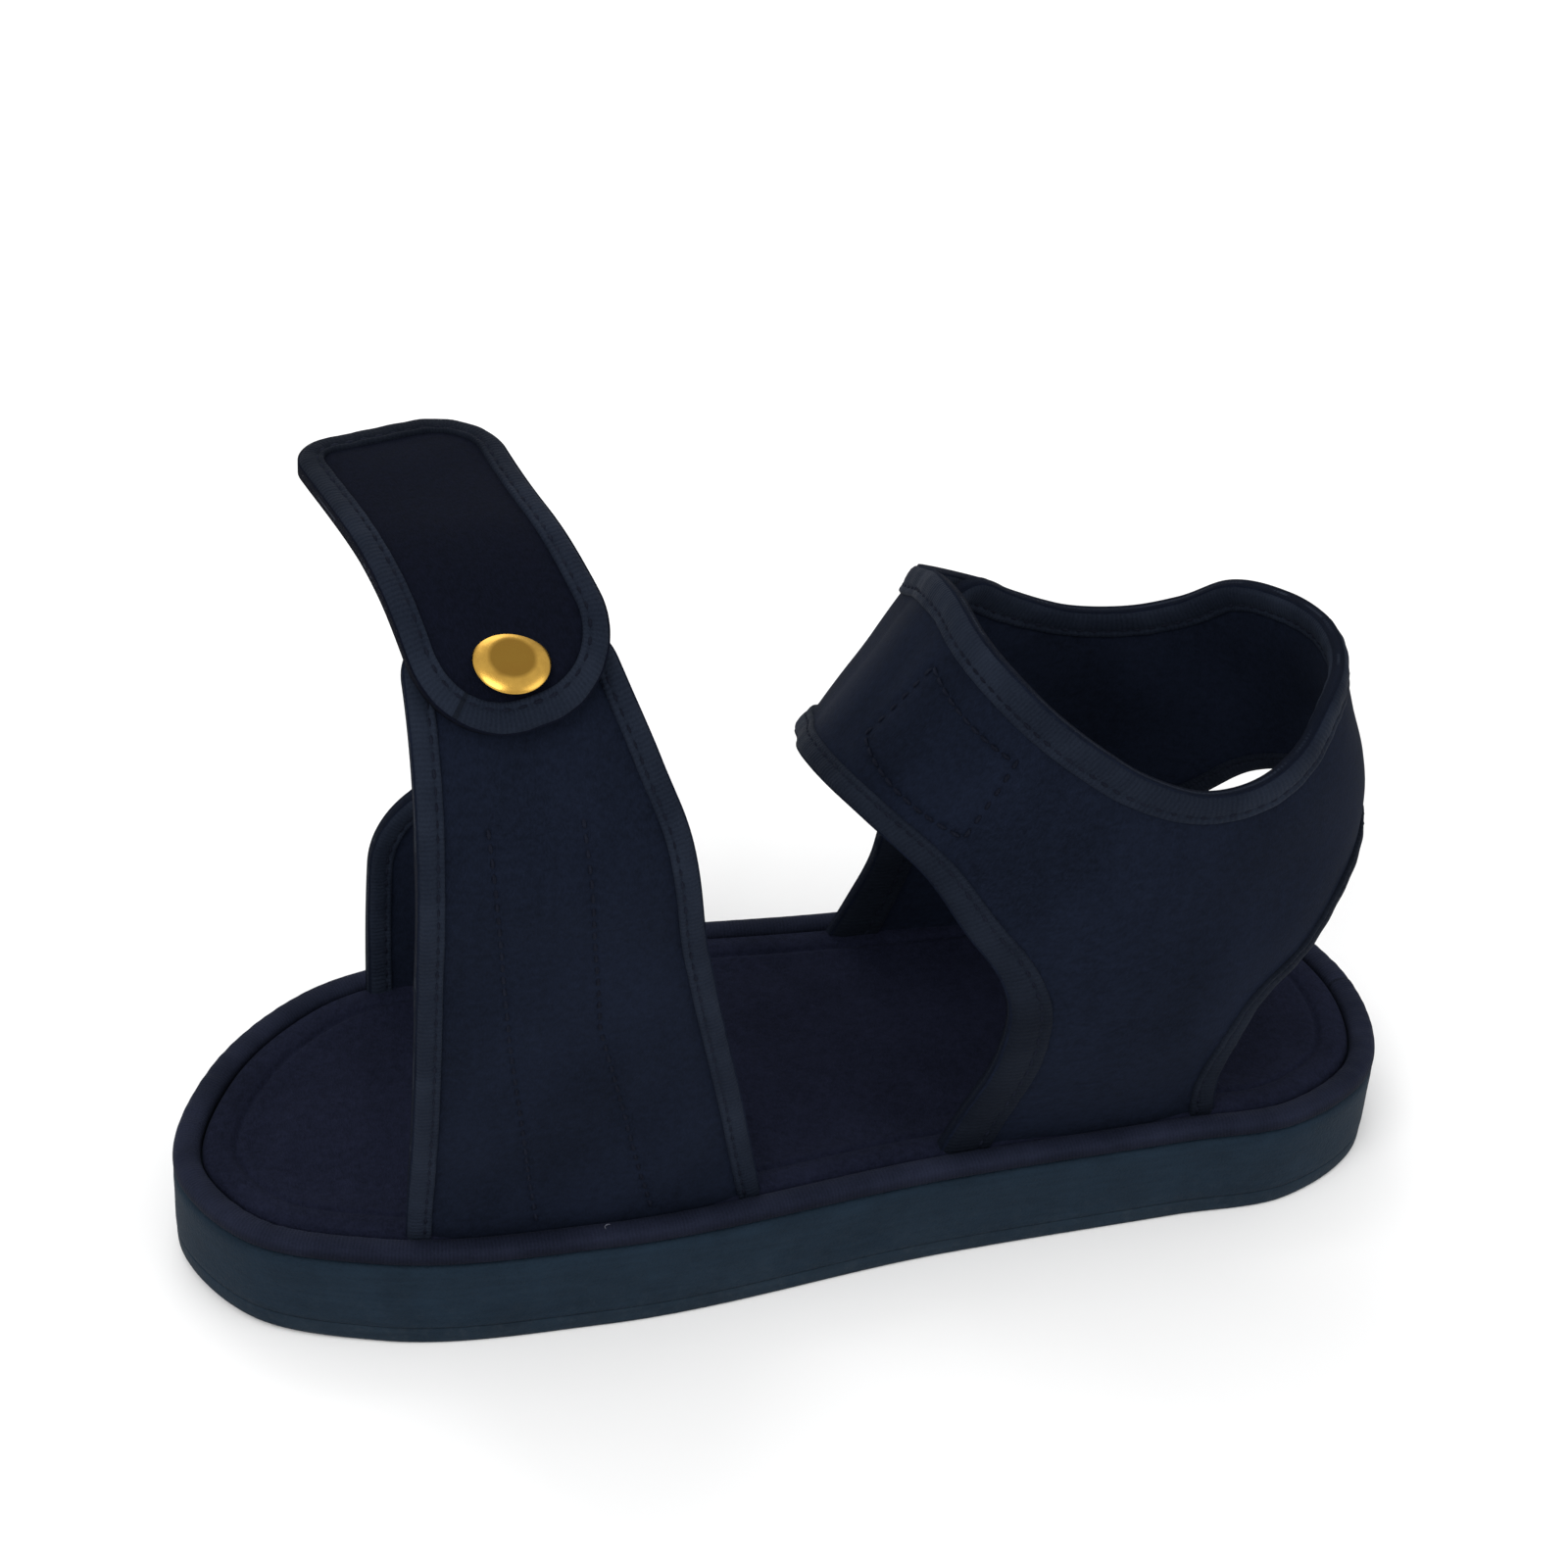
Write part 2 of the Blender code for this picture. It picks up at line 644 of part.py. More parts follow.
def ankle_side(sheet, end_turn, columns):
    """Cells of one side: heel band, leg down to the sole, and the part over the instep."""
    rear_count, leg_count, middle_count = 7, 5, 5
    rear = chain(ankle_pattern(REAR_EDGE), rear_count)
    leg_rear = chain(ankle_pattern(LEG_REAR), leg_count)
    leg_front = chain(ankle_pattern(LEG_FRONT), leg_count)
    leg_rear[-1, 1] = leg_front[0, 1] = SEAT
    low = chain(ankle_pattern(until(FRONT_EDGE, end_turn)), 60)
    high = chain(ankle_pattern(until(TOP_EDGE, end_turn)), 120)
    low_cut, high_cut = cut_back(low, STRAP_END_CORNER), cut_back(high, STRAP_END_CORNER)
    low_arc = conic(low_cut[-1], low[-1], toward(low[-1], high[-1], STRAP_END_CORNER), 2 * ARC)
    high_arc = conic(high_cut[-1], high[-1], toward(high[-1], low[-1], STRAP_END_CORNER), 2 * ARC)
    front = np.r_[spaced(low_cut, columns), low_arc[1:ARC + 1]]
    end = np.r_[low_arc[ARC:], high_arc[ARC:][::-1]]
    split_rear = high[:, 0] <= rear[-1, 0] + BINDING_WIDTH / 2
    split_front = high_cut[:, 0] >= leg_front[-1, 0] - BINDING_WIDTH / 2
    top_rear = spaced(high[split_rear], rear_count)
    top_front = np.r_[spaced(high_cut[split_front], columns), high_arc[1:ARC + 1]]
    between = high[(high[:, 0] >= top_rear[-1, 0]) & (high[:, 0] <= top_front[0, 0])]
    top_middle = spaced(np.r_[top_rear[-1:], between, top_front[:1]], middle_count)

    rear_path = np.r_[rear, leg_rear[1:]]
    front_path = np.r_[leg_front, front[1:], end[1:], top_front[::-1][1:],
                       top_middle[::-1][1:], top_rear[::-1][1:]]
    rear_inner = inward(rear_path, BINDING_WIDTH)
    front_inner = inward(front_path, BINDING_WIDTH)
    rear_inner[0, 0] = front_inner[-1, 0] = 0.0
    rear_inner[-1, 1] = front_inner[0, 1] = SEAT
    sheet.grid(np.stack([rear_path, rear_inner]), bound=True)
    sheet.grid(np.stack([front_path, front_inner]), bound=True)

    marks = np.cumsum([0, leg_count, len(front) - 1, len(end) - 1, len(top_front) - 1,
                       middle_count, rear_count])
    parts = [front_inner[a:b + 1] for a, b in zip(marks, marks[1:])]
    in_leg_front, in_front, in_end, in_top_front, in_top_middle, in_top_rear = parts
    in_rear, in_leg_rear = rear_inner[:rear_count + 1], rear_inner[rear_count:]
    upright = len(in_end)
    rear_side = np.linspace(in_rear[-1], in_top_middle[-1], upright)
    front_side = np.linspace(in_front[0], in_top_front[-1], upright)
    heel_side = np.linspace(in_rear[0], in_top_rear[-1], upright)
    cross_line = np.linspace(in_rear[-1], in_front[0], middle_count + 1)
    foot_line = np.linspace(in_leg_rear[-1], in_leg_front[0], middle_count + 1)
    sheet.grid(fill(in_rear, rear_side, in_top_rear[::-1], heel_side), bound=False)
    sheet.grid(fill(cross_line, front_side, in_top_middle[::-1], rear_side), bound=False)
    sheet.grid(fill(in_front, in_end, in_top_front[::-1], front_side), bound=False)
    sheet.grid(fill(foot_line, in_leg_front, cross_line, in_leg_rear[::-1]), bound=False)


def ankle_upper(surface_material, home):
    """Ankle upper: one wall from the wing on the little toe side to the strap's end."""
    sheet = Sheet(lambda pattern: last_surface(pattern, strap_lift), sign=-1.0)
    ankle_side(sheet, STRAP_END_TURN, 18)
    sheet.surface = lambda pattern: last_surface(pattern * (-1.0, 1.0))
    sheet.sign = 1.0
    ankle_side(sheet, WING_END_TURN, 5)
    return sheet.solid("ankle_upper", surface_material, home)


def slot_cutter(name, side, rear, front, home):
    """Solid that clears the footbed where a flap or leg stands in its edge."""
    bm = bmesh.new()
    x = np.linspace(rear - 2 * GAP, front + 2 * GAP, SLOT_STEPS)
    inner = seat_y(x, side, FLAP_INSET + WALL / 2 + BINDING_RISE + GAP)
    outer = seat_y(x, side, ROLL_WIDTH / 2)
    low, high = SEAT - FOOTBED_THICK, SEAT + 2 * FOOTBED_THICK
    lines = [[bm.verts.new((a, b, z)) for a, b in zip(x, y)]
             for y, z in ((inner, low), (outer, low), (outer, high), (inner, high))]
    for k in range(4):
        first, second = lines[k], lines[(k + 1) % 4]
        for i in range(SLOT_STEPS - 1):
            bm.faces.new((first[i], first[i + 1], second[i + 1], second[i]))
    bm.faces.new([line[0] for line in lines])
    bm.faces.new([line[-1] for line in lines][::-1])
    return add_object(name, bm, None, home)


def cut(target, cutter):
    """Take a cutter's shape out of a solid."""
    modifier = target.modifiers.new(cutter.name, "BOOLEAN")
    modifier.operation = "DIFFERENCE"
    modifier.solver = "EXACT"
    modifier.object = cutter


def turned(name, profile, surface_material, home, place, axis):
    """Solid of revolution about an axis through a place."""
    bm = bmesh.new()
    verts = [bm.verts.new((radius, 0.0, height)) for radius, height in profile]
    for a, b in zip(verts, verts[1:]):
        bm.edges.new((a, b))
    if profile[0][0] > 0:
        bm.edges.new((verts[-1], verts[0]))
    mesh = bpy.data.meshes.new(name)
    bm.to_mesh(mesh)
    bm.free()
    made = bpy.data.objects.new(name, mesh)
    home.objects.link(made)
    screw = made.modifiers.new("Turn", "SCREW")
    screw.steps = TURN_STEPS
    screw.render_steps = TURN_STEPS
    screw.use_merge_vertices = True
    screw.merge_threshold = 0.00001
    made.location = place
    made.rotation_mode = "QUATERNION"
    made.rotation_quaternion = axis.to_track_quat("Z", "Y")
    if surface_material:
        mesh.materials.append(surface_material)
    return made


def snap(metal, home):
    """Snap fastener: domed cap with its shank, and the socket inside the flap."""
    place, out = snap_frame()
    axis = Vector(out)
    radius, shank = CAP_DIAMETER / 2, SHANK_DIAMETER / 2
    under = STRAP_LIFT + WALL / 2 + GAP
    inside = -WALL / 2 - SOCKET_CLEAR
    end = inside - SOCKET_RISE
    cap = [(0.0, under + CAP_RISE), (0.45 * radius, under + 0.97 * CAP_RISE),
           (0.72 * radius, under + 0.86 * CAP_RISE), (0.90 * radius, under + 0.62 * CAP_RISE),
           (radius, under + 0.30 * CAP_RISE), (0.97 * radius, under), (shank, under),
           (shank, end), (0.0, end)]
    turned("snap_cap", cap, metal, home, place, axis)
    outer, bore = SOCKET_DIAMETER / 2, shank + GAP
    socket = [(bore, inside), (outer, inside), (outer, inside - 0.5 * SOCKET_RISE),
              (0.75 * outer, end), (bore, end)]
    turned("snap_socket", socket, metal, home, place, axis)


def bore_cutter(home):
    """Round bar that clears the flap and the strap round the snap's shank."""
    place, out = snap_frame()
    bm = bmesh.new()
    bmesh.ops.create_cone(bm, cap_ends=True, segments=TURN_STEPS, radius1=SHANK_DIAMETER / 2 + GAP,
                          radius2=SHANK_DIAMETER / 2 + GAP, depth=8 * STRAP_LIFT)
    made = add_object("shank_bore", bm, None, home)
    made.location = place
    made.rotation_mode = "QUATERNION"
    made.rotation_quaternion = Vector(out).to_track_quat("Z", "Y")
    return made


def sole(foam, rubber, cloth, felt, home):
    """Outsole, midsole, footbed and the fabric roll round the footbed."""
    stacked("outsole", (
        (SOLE_EDGE, 0.0, 1.0),
        (SOLE_EDGE / 3, SOLE_EDGE / 2, 1.0),
        (EDGE_STEP, SOLE_EDGE, 1.0),
        (EDGE_STEP, OUTSOLE_THICK, 1.0),
    ), rubber, home)
    stacked("midsole", (
        (2 * EDGE_STEP, OUTSOLE_THICK + GAP, 1.0),
        (0.0, OUTSOLE_THICK + GAP + EDGE_STEP, 1.0),
        (0.0, SOLE_TOP - 2 * EDGE_STEP, 0.0),
        (2 * EDGE_STEP, SOLE_TOP, 0.0),
    ), foam, home)
    roll = [(share * ROLL_WIDTH, SEAT + rise * ROLL_RISE) for share, rise in ROLL_PROFILE]
    turned_roll("edge_roll", roll, cloth, home)
    rim = ROLL_WIDTH + GAP
    return stacked("footbed", (
        (rim, SEAT, 0.0),
        (rim, SEAT + 0.6 * FOOTBED_THICK, 0.0),
        (rim + 0.4 * FOOTBED_THICK, SEAT + FOOTBED_THICK, 0.0),
    ), felt, home, dish=FOOTBED_DISH)


def leg_ends():
    """Where an ankle leg's rear and front edges meet the sole."""
    turns = np.radians([LEG_REAR[-1][0], LEG_FRONT[0][0]]) * PATTERN_RADIUS
    ends = last_surface(np.stack([turns, np.full(2, SEAT)], 1))
    return ends[0, 0], ends[1, 0]


def main():
    for old in list(bpy.data.objects):
        bpy.data.objects.remove(old, do_unlink=True)
    home = bpy.data.collections.new("foot_fracture_sandal")
    tools = bpy.data.collections.new("cutters")
    bpy.context.scene.collection.children.link(home)
    bpy.context.scene.collection.children.link(tools)

    foam = material("eva_foam", (0.0137, 0.0252, 0.0382), 0.75)
    rubber = material("outsole_rubber", (0.0120, 0.0210, 0.0320), 0.70)
    felt = material("footbed_cloth", (0.0080, 0.0097, 0.0194), 0.95)
    roll_cloth = material("roll_cloth", (0.0123, 0.0168, 0.0284), 0.90)
    laminate = material("upper_laminate", (0.0091, 0.0123, 0.0222), 0.92)
    strap_cloth = material("strap_cloth", (0.0065, 0.0080, 0.0144), 0.92)
    brass = material("snap_brass", (0.503, 0.288, 0.0437), 0.30, 1.0)

    footbed = sole(foam, rubber, roll_cloth, felt, home)
    medial = flap("medial_flap", 1, MEDIAL_FLAP_FRONT, MEDIAL_FLAP_BASE, MEDIAL_FLAP_LENGTH,
                  MEDIAL_FLAP_CORNER, MEDIAL_FLAP_EDGES, MEDIAL_BEND, SNAP_RUN, laminate, home)
    flap("lateral_flap", -1, LATERAL_FLAP_FRONT, LATERAL_FLAP_BASE, LATERAL_FLAP_LENGTH,
         LATERAL_FLAP_CORNER, LATERAL_FLAP_EDGES, LATERAL_BEND, LATERAL_FLAP_LENGTH, laminate, home)
    strap = closing_strap(strap_cloth, home)
    ankle_upper(laminate, home)
    snap(brass, home)

    rear, front = leg_ends()
    slots = (("medial_flap_slot", 1, MEDIAL_FLAP_FRONT - MEDIAL_FLAP_BASE, MEDIAL_FLAP_FRONT),
             ("lateral_flap_slot", -1, LATERAL_FLAP_FRONT - LATERAL_FLAP_BASE, LATERAL_FLAP_FRONT),
             ("medial_leg_slot", 1, rear, front),
             ("lateral_leg_slot", -1, rear, front))
    for name, side, start, end in slots:
        cut(footbed, slot_cutter(name, side, start, end, tools))
    bore = bore_cutter(tools)
    cut(medial, bore)
    cut(strap, bore)
    for cutter in tools.objects:
        cutter.hide_render = True
        cutter.display_type = "WIRE"


main()
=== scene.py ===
# %% [markdown]
# # A sandal for a bandaged right foot
# A post-operative sandal is a flat foam sole with cloth laid on it, and a few padded cloth
# panels sewn into the sole's edge. The solids come in as a fixed frame. Each of them is dressed
# here with a piece that has the same form, but with rounded bindings, stitches and nap.

# %% Load the frame
import math
import bpy
import numpy as np
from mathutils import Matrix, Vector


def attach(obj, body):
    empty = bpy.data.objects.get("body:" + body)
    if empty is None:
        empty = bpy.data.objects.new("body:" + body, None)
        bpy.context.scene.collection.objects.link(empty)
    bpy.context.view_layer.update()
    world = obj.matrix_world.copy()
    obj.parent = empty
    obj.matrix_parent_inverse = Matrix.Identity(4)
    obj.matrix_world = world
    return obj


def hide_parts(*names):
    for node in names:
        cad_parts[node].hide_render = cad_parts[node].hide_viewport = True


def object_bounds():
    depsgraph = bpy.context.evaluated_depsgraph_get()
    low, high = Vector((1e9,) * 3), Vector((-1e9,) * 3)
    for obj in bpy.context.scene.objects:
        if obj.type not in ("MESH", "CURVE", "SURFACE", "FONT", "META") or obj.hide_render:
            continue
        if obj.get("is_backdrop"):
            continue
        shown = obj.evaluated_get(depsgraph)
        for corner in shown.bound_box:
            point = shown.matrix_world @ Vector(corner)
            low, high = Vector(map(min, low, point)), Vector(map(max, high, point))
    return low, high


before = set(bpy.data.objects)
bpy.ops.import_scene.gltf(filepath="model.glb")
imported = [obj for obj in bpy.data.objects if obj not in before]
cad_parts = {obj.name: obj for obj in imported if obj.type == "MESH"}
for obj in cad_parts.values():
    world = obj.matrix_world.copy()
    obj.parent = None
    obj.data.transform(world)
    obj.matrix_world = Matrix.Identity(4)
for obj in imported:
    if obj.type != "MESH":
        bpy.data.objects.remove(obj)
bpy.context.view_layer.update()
print("nodes:", sorted(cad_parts))

# %% [markdown]
# ## Sizes
# A maker starts from a size sheet: the sole's length and widths, the thickness of each layer,
# and the last that the ankle part is shaped on. The tables hold shares of those sizes, so they
# stay true when the sandal is graded to another size.

# %% Sole sizes in metres
SOLE_LENGTH = 0.280
BALL_WIDTH = 0.1074
WAIST_WIDTH = 0.0984
HEEL_WIDTH = 0.0944
TOE_SHIFT = 0.0086
ARCH_BOW = 0.0041
GAP = 0.0003
OUTSOLE_THICK = 0.0045
SOLE_TOP = OUTSOLE_THICK + GAP + 0.0166
SEAT = SOLE_TOP + GAP
TOE_SPRING = 0.0015
HEEL_SPRING = 0.0004
ROLL_WIDTH = 0.0060
ROLL_RISE = 0.0038
FOOTBED_THICK = 0.0028
FOOTBED_DISH = 0.0010
OUTLINE = (("heel", 0.035, 0.66), ("heel", 0.12, 0.97), ("heel", 0.22, 1.00),
           ("waist", 0.42, 1.00), ("ball", 0.70, 1.00), ("ball", 0.87, 0.86), ("ball", 0.96, 0.52))
print("sole", SOLE_LENGTH * 1000, "mm long, top at", round(SEAT * 1000, 1), "mm")

# %% Cloth sizes in metres
WALL = 0.0034
BINDING_WIDTH = 0.0052
BINDING_RISE = 0.0005
FLAP_INSET = ROLL_WIDTH + GAP + WALL / 2 + BINDING_RISE
STRAP_LIFT = WALL + 2 * BINDING_RISE + GAP
FOOT_BLEND = 0.070
COLLAR_HEIGHT = 0.145
PATTERN_RADIUS = 0.047
STRAP_END_TURN, WING_END_TURN = 272.0, 124.0
LIFT_TURNS = (205.0, 232.0)
STRAP_OVER_WING = 0.0058
print("cloth walls", WALL * 1000, "mm thick")

# %% [markdown]
# ## Curves through tables
# Every edge is a smooth line through a few table rows. The helper below is a cubic whose slope
# at each row is the mean slope of its neighbours, and it works on whole arrays at once.


# %% Curve helpers
def smooth(table_x, table_y, x):
    """Cubic through table points: two blends of end values plus two of end slopes."""
    table_x, table_y = np.asarray(table_x, float), np.asarray(table_y, float)
    x = np.clip(np.asarray(x, float), table_x[0], table_x[-1])
    slope = np.gradient(table_y, table_x)
    i = np.clip(np.searchsorted(table_x, x, side="right") - 1, 0, len(table_x) - 2)
    width = table_x[i + 1] - table_x[i]
    t = (x - table_x[i]) / width
    start = (1 + 2 * t) * (1 - t) ** 2 * table_y[i] + t * (1 - t) ** 2 * width * slope[i]
    return start + t * t * (3 - 2 * t) * table_y[i + 1] + t * t * (t - 1) * width * slope[i + 1]


def lengths(path):
    """Distance along a path at each of its points."""
    return np.r_[0.0, np.cumsum(np.linalg.norm(np.diff(path, axis=0), axis=1))]


def sample(path, at):
    """Points of a path at given distances along it."""
    along = lengths(path)
    return np.stack([np.interp(at, along, path[:, k]) for k in range(path.shape[1])], 1)


def spaced(path, count):
    """The same line with count + 1 points at even distances."""
    return sample(path, np.linspace(0.0, lengths(path)[-1], count + 1))


def straight(start, end, count):
    """Even points on the line from one point to another."""
    return spaced(np.array([start, end]), count)


def chain(points, count):
    """Evenly spaced points on the smooth curve through the given ones."""
    points = np.asarray(points, float)
    along = lengths(points)
    fine = np.linspace(0.0, along[-1], 60 * len(points))
    return spaced(np.stack([smooth(along, points[:, k], fine) for k in (0, 1)], 1), count)


def cut_back(path, distance):
    """The path without its last stretch of a given distance."""
    along = lengths(path)
    return sample(path, np.r_[along[along < along[-1] - distance], along[-1] - distance])


# %% Corners and offsets
HALF_ARC = 12


def toward(start, end, distance):
    """The point at a distance from start on the way to end."""
    way = end - start
    return start + way / np.linalg.norm(way) * distance


def rounded(start, tip, end):
    """Corner arc: a conic whose weight of root one half makes a square corner a circle."""
    t = np.linspace(0.0, 1.0, 2 * HALF_ARC + 1)[:, None]
    w = (1 - t) ** 2, 2 * t * (1 - t) * math.sqrt(0.5), t ** 2
    return (w[0] * start + w[1] * tip + w[2] * end) / (w[0] + w[1] + w[2])


def corner(edge, other, size):
    """An edge with the first half of a rounded corner at its end, and the corner's second half."""
    run = cut_back(edge, size)
    arc = rounded(run[-1], edge[-1], toward(edge[-1], other[-1], size))
    return np.r_[run, arc[1:HALF_ARC + 1]], arc[HALF_ARC:]


def left_of(path, closed=False):
    """Unit way to the left of a path: its tangent turned by 90 degrees."""
    ahead = np.roll(path, -1, 0) - np.roll(path, 1, 0) if closed else np.gradient(path, axis=0)
    ahead = ahead / np.linalg.norm(ahead, axis=1)[:, None]
    return np.stack([-ahead[:, 1], ahead[:, 0]], 1)


def inward(path, distance, closed=False):
    """The path moved to its left by a distance."""
    return path + distance * left_of(path, closed)


def ramp(x, start, end):
    """Share of the way from start to end, held at 0 and at 1."""
    return np.clip((x - start) / (end - start), 0.0, 1.0)


def eased(t):
    """Share that starts and ends gently: three times its square less twice its cube."""
    return t * t * (3 - 2 * t)


# %% [markdown]
# ## The sole's outline
# The outline is drawn as a shoemaker does, from half widths at stations along the middle line.
# The middle line bows a little to the outside, and the toe leans to the big toe side.


# %% Outline of the sole
def outline(half_count):
    """Closed ring through the stations: heel point, big toe side, toe, little toe side."""
    halves = {"heel": HEEL_WIDTH / 2, "waist": WAIST_WIDTH / 2, "ball": BALL_WIDTH / 2}
    place = np.array([row[1] for row in OUTLINE])
    half = np.array([halves[row[0]] * row[2] for row in OUTLINE])
    middle = -ARCH_BOW * np.sin(math.pi * place) + np.where(place > 0.9, TOE_SHIFT / 2, 0.0)
    x = place * SOLE_LENGTH
    ring = np.concatenate([[(0.0, 0.0)], np.stack([x, middle + half], 1),
                           [(SOLE_LENGTH, TOE_SHIFT)], np.stack([x, middle - half], 1)[::-1]])
    ring[:, 0] -= SOLE_LENGTH / 2
    wrapped = np.r_[ring[-3:], ring, ring[:4]]
    along = lengths(wrapped)
    heel, toe, again = along[3], along[4 + len(OUTLINE)], along[3 + len(ring)]
    at = np.r_[np.linspace(heel, toe, half_count, endpoint=False),
               np.linspace(toe, again, half_count, endpoint=False)]
    return np.stack([smooth(along, wrapped[:, k], at) for k in (0, 1)], 1)


HALF = 420
RING = outline(HALF)


def inset(distance):
    """The outline moved toward the middle of the sole."""
    return inward(RING[::-1], distance, closed=True)[::-1]


SEAT_RING = inset(FLAP_INSET)
SIDES = {1: SEAT_RING[:HALF + 1], -1: np.r_[SEAT_RING[HALF:], SEAT_RING[:1]][::-1]}


def seat_y(x, side):
    """Place across the sole of the seam line that the panels stand in."""
    half = SIDES[side]
    order = np.argsort(half[:, 0])
    return np.interp(x, half[order, 0], half[order, 1])


def spring(x):
    """Lift of the sole's underside: it grows with the square of the way into toe or heel."""
    share = x / SOLE_LENGTH + 0.5
    return TOE_SPRING * ramp(share, 0.80, 1.0) ** 2 + HEEL_SPRING * ramp(share, 0.07, 0.0) ** 2


print("outline", len(RING), "points,", round(lengths(RING)[-1] * 1000), "mm round")

# %% [markdown]
# ## Finishes
# An effect that several finishes share is a node group with named sockets: napped cloth, ribbed
# tape, fine foam cells and dust. The shader stays in each material, so the plain numbers such as
# sheen sit on its own sockets.


# %% Node helpers
def wire(source, target):
    """Join an output socket to an input socket of the same tree."""
    target.id_data.links.new(source, target)


def add(tree, kind, **values):
    """Add a node; names with a plain attribute are set on it, the rest on its sockets."""
    made = tree.nodes.new(kind)
    column, row = divmod(len(tree.nodes), 5)
    made.location = (column * 200, -row * 240)
    for name, value in values.items():
        if hasattr(made, name):
            setattr(made, name, value)
        else:
            made.inputs[name.replace("_", " ").title()].default_value = value
    return made


def on_vector(vector, kind, **values):
    """Add a node that reads a vector socket."""
    made = add(vector.id_data, kind, **values)
    wire(vector, made.inputs["Vector"])
    return made


def noise(vector, scale, detail, roughness=0.55):
    """Noise texture's value."""
    return on_vector(vector, "ShaderNodeTexNoise", scale=scale, detail=detail,
                     roughness=roughness).outputs["Fac"]


def scaled(vector, factors):
    """Vector times three factors."""
    return on_vector(vector, "ShaderNodeMapping", scale=factors).outputs["Vector"]


def split(vector):
    """The three parts of a vector."""
    return on_vector(vector, "ShaderNodeSeparateXYZ").outputs


def maths(kind, first, second, clamp=False):
    """Math node on two sockets or numbers."""
    known = first if isinstance(first, bpy.types.NodeSocket) else second
    made = add(known.id_data, "ShaderNodeMath", operation=kind, use_clamp=clamp)
    for target, value in zip(made.inputs, (first, second)):
        if isinstance(value, bpy.types.NodeSocket):
            wire(value, target)
        else:
            target.default_value = value
    return made.outputs[0]


def times(first, second, clamp=False):
    """Product of two sockets or numbers."""
    return maths("MULTIPLY", first, second, clamp)


def plus(first, second, clamp=False):
    """Sum of two sockets or numbers."""
    return maths("ADD", first, second, clamp)


def window(value, low, high):
    """Value stretched so that low becomes 0 and high becomes 1, and clamped."""
    made = add(value.id_data, "ShaderNodeMapRange", from_min=low, from_max=high)
    wire(value, made.inputs["Value"])
    return made.outputs["Result"]


def mixed(factor, first, second):
    """Colour between two, by a factor socket."""
    made = add(factor.id_data, "ShaderNodeMix", data_type="RGBA")
    wire(factor, made.inputs["Factor"])
    colours = [socket for socket in made.inputs if socket.type == "RGBA"]
    for socket, value in zip(colours, (first, second)):
        if isinstance(value, tuple):
            socket.default_value = (*value, 1.0)
        else:
            wire(value, socket)
    return [socket for socket in made.outputs if socket.type == "RGBA"][0]


# %% Group helpers
COLOUR, VALUE, VECTOR = "NodeSocketColor", "NodeSocketFloat", "NodeSocketVector"


def group(name, numbers, colours=("Deep", "Tips"), outputs=("Colour", "Height", "Roughness")):
    """New node group with a vector, colours and numbers going in; its entry sockets and exit."""
    tree = bpy.data.node_groups.new(name, "ShaderNodeTree")
    face = tree.interface
    face.new_socket("Vector", in_out="INPUT", socket_type=VECTOR)
    for label in colours:
        face.new_socket(label, in_out="INPUT", socket_type=COLOUR)
    for label, value in numbers:
        face.new_socket(label, in_out="INPUT", socket_type=VALUE).default_value = value
    for label in outputs:
        face.new_socket(label, in_out="OUTPUT", socket_type=COLOUR if label == "Colour" else VALUE)
    return tree.nodes.new("NodeGroupInput").outputs, tree.nodes.new("NodeGroupOutput")


def give(leave, **results):
    """Wire named results to a group's exit."""
    for label, socket in results.items():
        wire(socket, leave.inputs[label])
    print("group", leave.id_data.name)


# %% [markdown]
# ### Napped cloth
# The panels are foam with a brushed loop cloth on both faces. Its fibres lie in small tufts that
# catch the light one by one, and hands have brushed some areas flat. So there are three scales:
# fibres of half a millimetre, tufts of two or three, and brushed areas of some centimetres.

# %% Group: napped cloth
enter, leave = group("napped_cloth", (("Patchiness", 0.5),))
vector = enter["Vector"]
fibres = noise(scaled(vector, (1.0, 0.45, 1.0)), 2600.0, 3.0)
tuft = noise(vector, 620.0, 2.0)
brushed = noise(scaled(vector, (1.0, 0.6, 1.0)), 42.0, 5.0)
nap = plus(times(fibres, 0.55), times(tuft, 0.45))
area = times(window(brushed, 0.35, 0.70), enter["Patchiness"])
share = times(plus(window(nap, 0.36, 0.66), area), 0.62, clamp=True)
give(leave, Colour=mixed(share, enter["Deep"], enter["Tips"]), Height=nap,
     Roughness=plus(times(tuft, 0.16), 0.80))

# %% [markdown]
# ### Ribbed tape
# Bindings are woven tape folded over the edge. Its ribs run across the tape, so they follow the
# first coordinate of the piece's own UV map, which is the distance along the tape in metres.

# %% Group: ribbed tape
enter, leave = group("ribbed_tape", (("Ribs", 6200.0),))
vector = enter["Vector"]
turns = plus(times(split(vector)[0], enter["Ribs"]), times(noise(vector, 300.0, 2.0), 5.0))
rib = plus(times(maths("SINE", turns, 0.0), 0.5), 0.5)
fuzz = noise(vector, 2200.0, 3.0)
worn = noise(vector, 55.0, 4.0)
share = plus(times(rib, 0.22), times(window(fuzz, 0.35, 0.7), 0.35))
share = plus(share, times(window(worn, 0.4, 0.72), 0.65), clamp=True)
give(leave, Colour=mixed(share, enter["Deep"], enter["Tips"]), Height=plus(times(rib, 0.35), fuzz),
     Roughness=plus(times(fuzz, 0.2), 0.68))

# %% [markdown]
# ### Foam cells
# The sole is cut from a block of closed-cell foam and its side is buffed, so the cut cells show
# as fine pits, with faint streaks from the buffing belt along the side, and cloudy areas.

